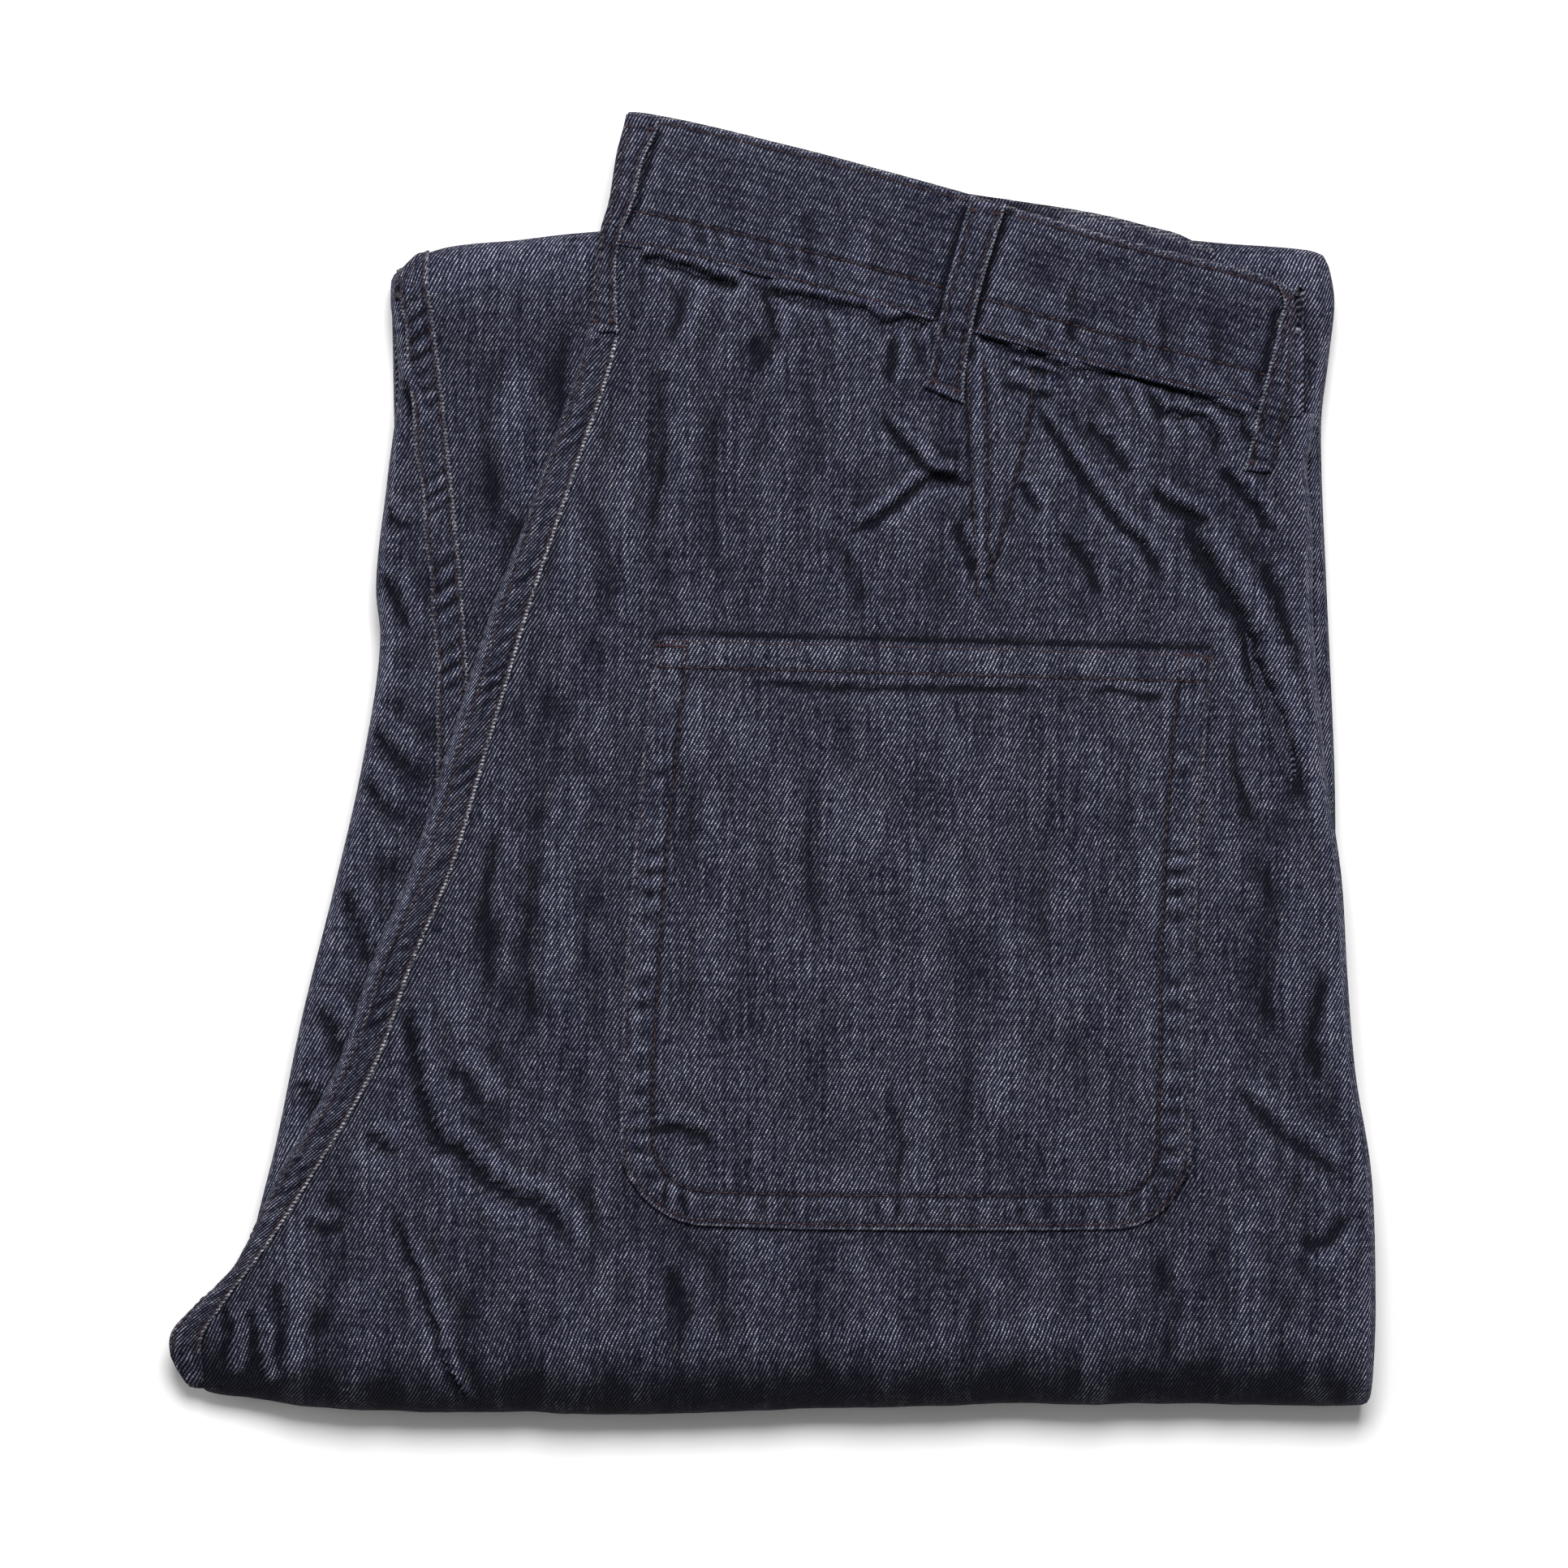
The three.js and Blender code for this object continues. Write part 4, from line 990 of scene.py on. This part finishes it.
def pocketLine(inset):
    # a line round the sides and foot at this distance from the edge, from one end of the mouth to the other
    p = pocket
    start, end = p["footX"]

    def sag(x):
        return p["sag"] * np.sin(math.pi * np.clip((x - start) / (end - start), 0, 1))

    def straight(edge, y, sign):
        return along(edge, y) + sign * inset, y

    def corner(edge, footY, sign, squeeze, turn):
        middleX = along(edge, footY + p["corner"]) + sign * p["corner"] * squeeze
        x = middleX - sign * (p["corner"] * squeeze - inset) * np.sin(turn)
        return x, footY + p["corner"] - (p["corner"] - inset) * np.cos(turn) - sag(x) * np.cos(turn)

    turning = np.linspace(0, math.pi / 2, 14)
    down = np.linspace(p["mouth"][0] - 1.0, p["foot"][0] + p["corner"], 90)
    up = np.linspace(p["foot"][1] + p["corner"], p["mouth"][1] - 1.0, 90)
    left = corner(p["left"], p["foot"][0], 1, 1, turning[::-1])
    right = corner(p["right"], p["foot"][1], -1, p["squeeze"], turning)
    x = np.linspace(left[0][-1], 100, 60)[1:]
    foot = (x, lerp(*p["foot"], (x - start) / (end - start)) + inset - sag(x))
    runs = [straight(p["left"], down, 1), left, foot, right, straight(p["right"], up, -1)]
    return np.stack(pocketPlace(*np.concatenate([np.stack(run) for run in runs], axis=1)), axis=1)


def pocketMouthLine(drop):
    share = np.linspace(0.012, 0.988, 120)
    y = lerp(*pocket["mouth"], share) - drop
    x = lerp(along(pocket["left"], y), along(pocket["right"], y), share)
    return np.stack(pocketPlace(x, y), axis=1)


print("pocket")
makeCloth(pocket, pocketSurface, pocketDenim)

# Waistband: four plies, the top one rolled down at both ends
band = dict(
    top=27.2, step=2.5, lean=-7.0, shear=0.35, overlap=1.4, edge=1.1, lines=(1.7, 11.2), topLine=2.3,
)
bandPlies = [
    dict(
        name="waistbandBackRightCloth", node="waistband_right_back", grid=(230, 46), wall=1.6,
        cut=(262, 46, 0.9), x=(-50.2, 158.6), height=40.5, flare=0.0, falls=2.5, roll=(4.6, 2.4),
    ),
    dict(
        name="waistbandFrontRightCloth", node="waistband_right_front", grid=(150, 16), wall=2.0,
        cut=(216, 46, 0.95), x=(-45, 129.5), height=38.6, flare=8.4, falls=2.0, roll=(2.5, 2.0),
    ),
    dict(
        name="waistbandFrontLeftCloth", node="waistband_left_front", grid=(150, 16), wall=2.0,
        cut=(212, 42, 0.95), x=(-45, 127.5), height=37.5, flare=2.0, falls=0.0, roll=(2.0, 1.5),
    ),
    dict(
        name="waistbandBackLeftCloth", node="waistband_left_back", grid=(150, 16), wall=2.0,
        cut=(250, 46, 0.9), x=(-50.5, 148), height=38.0, flare=0.0, falls=0.0, roll=(2.0, 1.5),
    ),
]
bandCreases = [
    crease([(73.6, 173), (69.4, 160), (65.0, 145), (62.4, 132)], 1.8, 1.5, 0.0, fade=0.08),
    crease([(60.6, 173), (56.8, 160), (53.0, 145), (50.6, 133)], 1.3, 0.9, 0.0, fade=0.08),
    crease([(-33.6, 196), (-36.9, 188), (-41.2, 172), (-45, 164)], 1.3, 0.7, 0.0, fade=0.08),
    crease([(156.2, 141), (154.8, 135), (152.6, 125), (150.4, 116)], 1.4, 1.0, 0.0, fade=0.08),
    crease([(8, 152), (12, 160), (10, 172)], 2.6, 0.5, 0.4),
    crease([(30, 146), (33, 156), (31, 166)], 2.6, 0.4, 0.4),
    crease([(90, 128), (94, 138), (92, 150)], 2.6, 0.5, 0.4),
    crease([(118, 120), (121, 130), (119, 142)], 2.4, 0.5, 0.4),
    crease([(134, 118), (137, 128), (136, 140)], 2.4, 0.4, 0.4),
]


def bandSurface(ply, number):
    startX, endX = ply["x"]
    rollLeft, rollRight = ply["roll"]

    def surface(u, v):
        full = endX - startX
        leftRun = rollLeft * math.pi / 2
        rightRun = rollRight * math.pi * 0.75
        run = lerp(-leftRun, full + rightRun, u)
        left = np.clip(-run / rollLeft, 0, math.pi / 2)
        right = np.clip((run - full) / rollRight, 0, math.pi * 0.75)
        x = startX + np.clip(run, 0, full) + rollLeft * (0.6 - np.sin(left)) + rollRight * np.sin(right)
        share = np.clip(run / full, 0, 1)
        slope = np.arctan2(along(waistSeam, x + 1) - along(waistSeam, x - 1), 2)
        height = ply["height"] + ply["flare"] * smooth(share, 0.4, 0.86)
        height = height - ply["falls"] * smooth(share, 0.93, 1)
        over = band["overlap"] if number == 0 else -0.3
        up = lerp(-over, height, v)
        shear = band["shear"] * np.sin(slope) * up + band["lean"] * v * (1 - share)
        inside = np.minimum(up + over, height - up)
        soft = 0.3 * waves(x, up + 7 * number, 38, 61) + 0.12 * waves(x * 0.6, up, 14, 62)
        ripple = 0.45 * puckers(x + 0.4 * up, 7.5, 63) * bell(up - 6.5, 4.2)
        ripple = ripple + 0.2 * puckers(x, 9, 64) * bell(height - up - 2, 3)
        lines = [up + over - band["lines"][0], up + over - band["lines"][1], height - up - band["topLine"]]
        channels = sum(0.7 * bell(line, 1.0) for line in lines)
        y = along(waistSeam, x) + np.cos(slope) * up
        raised = soft + ripple - channels - edgeDrop(inside, band["edge"])
        raised = raised + creased(x - shear, y, bandCreases)
        flat = np.cos(left) * np.where(right > 0, np.cos(right), 1)
        drop = rollLeft * (1 - np.cos(left)) + rollRight * (1 - np.cos(right))
        # pale wear along the top edge; the lower plies get painted shade up to just past the top ply's edge
        wearAndShade = 0.3 * bell(height - up, 0.8) - (0.8 * smooth(up, 43.5, 40.5) if number else 0)
        z = band["top"] - number * band["step"] - drop + raised * np.maximum(flat, 0)
        return (x - shear, y, settle(x, y, z)), (x - shear, y + 0.6 * drop), wearAndShade

    return surface


print("waistband")
bandSurfaces = [bandSurface(ply, number) for number, ply in enumerate(bandPlies)]
for ply, surface in zip(bandPlies, bandSurfaces):
    makeCloth(ply, surface, bandDenim)

# Belt loops, with their two edges from the top down
loopForm = dict(edge=0.8, lines=2.2, raised=2.2, grid=(22, 90), wall=1.3)
loops = [
    dict(
        name="loopBackCentreCloth", node="loop_back_centre", slant=(-1.8, 0.0), arch=0.4, roll=(3.2, 0),
        wearAndShade=(0.05, 0.6), cut=(11.5, 76, 0.85),
        rows=[(199.9, -44.8, -34.4), (196, -45.6, -35.1), (188, -47.6, -38.6), (172, -50.2, -42.6),
              (165.4, -52.2, -45.2), (155.4, -54.3, -47.4), (145, -55.3, -47.4), (132.5, -55.8, -46.9)],
    ),
    dict(
        name="loopBackSideCloth", node="loop_back_side", slant=(-1.6, -5.0), arch=1.6, roll=(0, 0.3),
        wearAndShade=(0.15, 0.5), cut=(12.5, 66, 0.9),
        rows=[(173, 61.0, 72.4), (160, 57.4, 68.3), (145, 53.6, 63.9), (133, 51.0, 61.4),
              (120.4, 48.6, 59.6), (113, 46.8, 59.4)],
    ),
    dict(
        name="loopSideSeamCloth", node="loop_side_seam", slant=(-2.0, -1.0), arch=1.4, roll=(0, 3.0),
        wearAndShade=(0.6, 0.05), cut=(12.5, 66, 0.75),
        rows=[(147, 155.2, 159.8), (141, 157.2, 161.8), (135, 155.9, 161.6), (125, 153.7, 161.2),
              (116, 151.3, 160.6), (108, 149.4, 159.3), (98, 147.2, 157.6), (89.5, 144.9, 156.2)],
    ),
]


def loopSurface(one):
    rows = one["rows"]
    top, end = rows[0][0], rows[-1][0]

    def surface(u, v):
        level = lerp(end, top, v)
        left, right = [along([(row[0], row[side]) for row in rows], level) for side in (1, 2)]
        width = right - left
        x = lerp(left, right, u)
        y = level + lerp(one["slant"][1], one["slant"][0], v) * (u - 0.5)
        onBand = smooth(y - along(waistSeam, x), -4.5, 0.5)
        under = lerp(pack["height"] + seatRelief(x, y) * 0.5, band["top"], onBand)
        inside = np.minimum(u, 1 - u) * width
        ends = np.minimum(v, 1 - v) * (top - end)
        arch = one["arch"] * np.sin(math.pi * v) ** 0.7
        channels = 0.7 * bell(inside - loopForm["lines"], 0.9)
        soft = 0.2 * waves(x, y, 13, 72) + 0.14 * puckers(y, 7, 73)
        pressed = 0.6 * bell(ends - 3.4, 1.5) + 0.8 * edgeDrop(ends, 1.0)
        raised = loopForm["raised"] + arch + soft - channels - pressed - edgeDrop(inside, loopForm["edge"])
        sides = (1 - u, u)
        rolled = sum(by * smooth(side - 0.45, 0, 0.55) ** 2 for by, side in zip(one["roll"], sides))
        wearAndShade = sum(by * bell((1 - side) * width, 0.6) for by, side in zip(one["wearAndShade"], sides))
        return (x, y, settle(x, y, under + raised - rolled)), (x, y), wearAndShade

    return surface


print("belt loops")
loopSurfaces = [loopSurface(one) for one in loops]
for one, surface in zip(loops, loopSurfaces):
    makeCloth({**loopForm, **one}, surface, bandDenim)

# The layers inside the folds: each stack one closed form with a rounded lip for every layer
seatStack = dict(
    name="seatLayersCloth", node="hidden_seat_layers", bottom=14.9, top=23.0, ends=(-170.0, 148.0),
    lips=[(9.0, 1.6), (2.0, 0.8), (2.2, 1.6), (4.5, 9.0)], seed=81, cut=(345, 345, 0.9),
)
legStack = dict(
    name="legLayersCloth", node="hidden_leg_layers", bottom=1.5, top=12.5, ends=(-175.0, 148.0),
    lips=[(2.4, 3.2), (0.9, 0.9), (1.6, 1.5), (8.0, 10.0)], seed=85, cut=(320, 345, 0.95),
)
stackGrid = dict(around=300, up=78, capRows=0.11, lipDepth=1.7, clear=0.8, uneven=0.7, dish=3.0)


def stackSurface(stack, left, right, front, back):
    lips, bottom, top = stack["lips"], stack["bottom"], stack["top"]
    lipHeight = (top - bottom) / len(lips)
    cap = stackGrid["capRows"]

    def surface(u, v):
        up = np.clip((v - cap) / (1 - 2 * cap), 0, 1) * len(lips)
        lip = np.minimum(up.astype(int), len(lips) - 1)
        bulge = np.clip(up - lip, 0, 1)
        inset = stackGrid["lipDepth"] * (1 - np.sqrt(np.maximum(0, 1 - (2 * bulge - 1) ** 2)))
        z = bottom + up * lipHeight
        inLeft, inRight = [inset + np.array(lips)[lip, side] + stackGrid["clear"] for side in (0, 1)]
        near, far = stack["ends"]
        side = np.floor(u * 4).astype(int) % 4
        f = u * 4 - np.floor(u * 4)
        y0, y1 = front(z, 0 * z + 170), back(z, 0 * z + 160)
        leftNear, leftFar = front(z, 0 * z - 120), back(z, 0 * z - 100)
        run = lerp(near, far, f)
        ripples = [stackGrid["uneven"] * waves(run, lip * 37.0 + at, 60, stack["seed"]) for at in (0, 11)]
        yRight, yLeft = lerp(y0, y1, f), lerp(leftFar, leftNear, f)
        xRight = right(yRight) - inRight - ripples[0]
        xLeft = left(yLeft) + inLeft + ripples[1]
        xFar = lerp(right(y1) - inRight, left(leftFar) + inLeft, f)
        xNear = lerp(left(leftNear) + inLeft, right(y0) - inRight, f)
        x = np.choose(side, [xRight, xFar, xLeft, xNear])
        y = np.choose(side, [yRight, back(z, xFar) - inset, yLeft, front(z, xNear) + inset])
        inward = np.maximum(np.maximum(0, (cap - v) / cap), np.maximum(0, (v - 1 + cap) / cap))
        middle = ((left(0 * x) + right(0 * x)) / 2, 0 * y - 10)
        x, y = lerp(x, middle[0], inward), lerp(y, middle[1], inward)
        dish = stackGrid["dish"] * smooth(inward, 0, 0.2)
        z = z + np.where(v < 0.5, dish, -dish)
        return (x, y, settle(x, y, z)), (x + z + 3 * lip, y + 0.8 * z), 0 * x

    return surface


def makeStack(stack, surface):
    bm, u, v = newGrid(stackGrid["around"], stackGrid["up"])
    place, weave, _ = surface(u % 1.0, np.clip(v, 0.0005, 0.9995))
    layGrid(bm, np.stack(place, axis=1), np.stack(weave, axis=1))
    bmesh.ops.remove_doubles(bm, verts=bm.verts, dist=0.00002)
    ends = [edge for edge in bm.edges if edge.is_boundary]
    if ends:
        bmesh.ops.holes_fill(bm, edges=ends, sides=0)
    bmesh.ops.recalc_face_normals(bm, faces=bm.faces)
    declare(makeMesh(stack["name"], bm), stack, legDenim)


def insideFold(half, z):
    clear = half - pack["wall"] - 1.1
    up = np.clip(z - half, -clear, clear)
    return half - np.sqrt(clear**2 - up**2)


def insideSeatFold(z, x):
    rolled = 5 * smooth(x, 158, 174) + 8 * smooth(-x, 115, 155)
    return along(seatFoldFront, x) + insideFold(pack["height"] / 2, z) + 5 + rolled


def insideKneeFold(z, x):
    rolled = 4 * smooth(x, 150, 168) + 4 * smooth(-x, 95, 110)
    return along(kneeFoldFront, x) - insideFold(pack["legs"] / 2, z) - 3.4 - rolled


print("inner layers")
makeStack(seatStack, stackSurface(
    seatStack,
    lambda y: along(seatSeam, y) - along(seatRoll, y) + 1.6 + 7 * smooth(-y, 105, 150),
    lambda y: along(sideFold, y) - 0.8,
    insideSeatFold,
    lambda z, x: along(waistSeam, x) - 2.0,
))
makeStack(legStack, stackSurface(
    legStack,
    lambda y: along(legLeftEdge, y) + 0.4,
    lambda y: along(legRightEdge, y) - 0.6,
    lambda z, x: np.where(z < 4.25, pack["hem"] + 5, insideSeatFold(z, x)),
    insideKneeFold,
))

# Stitching
def dartLine(path):
    corners = np.array(path, float)
    run = np.concatenate([[0], np.cumsum(np.hypot(*np.diff(corners, axis=0).T))])
    steps = np.linspace(0, run[-1], 60)
    x, y = [np.interp(steps, run, corners[:, axis]) for axis in (0, 1)]
    return np.stack([x, y, settle(x, y, pack["height"] + seatRelief(x, y))], axis=1)


def seatFellLine(inset):
    v = np.linspace(0.03, 0.985, 300)
    y = lerp(seatFell["lower"], seatFell["upper"], v)
    width = np.minimum(seatFell["width"], along(seatRoll, y) + 2.5)
    return onSurface(seatFellSurface, 1 - inset / width, v)


def inseamLine(inset):
    v = np.linspace(0.01, 0.99, 200)
    return onSurface(inseamSurface, 0 * v + 1 - inset / inseamFell["width"], v)


def bandLine(up):
    u = np.linspace(0.03, 0.985, 400)
    return onSurface(bandSurfaces[0], u, 0 * u + up)


def loopLine(one, surface, onLeft):
    v = np.linspace(0.03, 0.97, 60)
    widths = [one["rows"][end][2] - one["rows"][end][1] for end in (-1, 0)]
    inset = loopForm["lines"] / np.interp(v, [0, 1], widths)
    return onSurface(surface, inset if onLeft else 1 - inset, v)


print("stitching")
sewn("dartStitches", [dartLine(dart[line]) for line in dartLines])
sewn("seatSeamStitches", [seatFellLine(inset) for inset in fellLines])
sewn("inseamStitches", [inseamLine(inset) for inset in inseamFell["lines"]])
pocketTacks = np.array([(-35.4, 36.6), (-26.2, 36.0), (126.2, 33.8), (135.0, 32.2)])  # x, y of their ends
tackEnds = np.stack(pocketPlace(*pocketTacks.T), axis=1)
sewn(
    "pocketStitches",
    [pocketLine(inset) for inset in pocket["lines"]]
    + [pocketMouthLine(drop) for drop in pocket["mouthLines"]],
    [tackEnds[:2], tackEnds[2:]],
)
topHeight = bandPlies[0]["height"] + band["overlap"]
bandLevels = [line / topHeight for line in band["lines"]] + [1 - band["topLine"] / topHeight]
sewn("waistbandStitches", [bandLine(up) for up in bandLevels])
loopPairs = list(zip(loops, loopSurfaces))
sewn(
    "loopStitches",
    [loopLine(one, surface, onLeft) for one, surface in loopPairs for onLeft in (True, False)],
    [onSurface(surface, [0.12, 0.88], [up, up]) for _, surface in loopPairs for up in (0.945, 0.055)],
)

# Floor, camera and lights
print("studio")
ground = dict(size=4.0, colour=(0.9, 0.89, 0.895, 1), roughness=0.9, specular=0.0)
floorBm = bmesh.new()
bmesh.ops.create_grid(floorBm, x_segments=1, y_segments=1, size=ground["size"])
floorMesh = bpy.data.meshes.new("floor")
floorBm.to_mesh(floorMesh)
floorBm.free()
floor = linked("floor", floorMesh)
floorLook = Look("paleFloor")
floorLook.dress(ground["colour"], ground["roughness"], ground["specular"])
floor.data.materials.append(floorLook.material)

view = dict(over=(3.9, -6.1), away=2200.0, objectPlane=22.0, frameWide=483.0, sensor=36.0)
camera = linked("camera", bpy.data.cameras.new("camera"))
camera.location = (view["over"][0] * mm, view["over"][1] * mm, (view["objectPlane"] + view["away"]) * mm)
camera.data.sensor_width = view["sensor"]
camera.data.lens = view["sensor"] * view["away"] / view["frameWide"]
camera.data.clip_end = 20
bpy.context.scene.camera = camera

lights = [
    dict(name="window", place=(0.1, 0.95, 1.75), size=0.85, power=50.5),
    dict(name="fillLeft", place=(-1.6, 0.4, 1.4), size=1.0, power=9.0),
    dict(name="fillRight", place=(1.0, -1.1, 1.7), size=1.6, power=5.5),
]
for one in lights:
    lamp = linked(one["name"], bpy.data.lights.new(one["name"], "AREA"))
    lamp.data.size = one["size"]
    lamp.data.energy = one["power"]
    lamp.location = one["place"]
    lamp.rotation_euler = (-Vector(one["place"])).to_track_quat("-Z", "Y").to_euler()
sky = dict(colour=(1, 1, 1, 1), strength=0.13)
world = bpy.data.worlds.new("studio")
world.use_nodes = True
world.node_tree.nodes["Background"].inputs["Color"].default_value = sky["colour"]
world.node_tree.nodes["Background"].inputs["Strength"].default_value = sky["strength"]
bpy.context.scene.world = world
bpy.context.scene.view_settings.view_transform = "Standard"
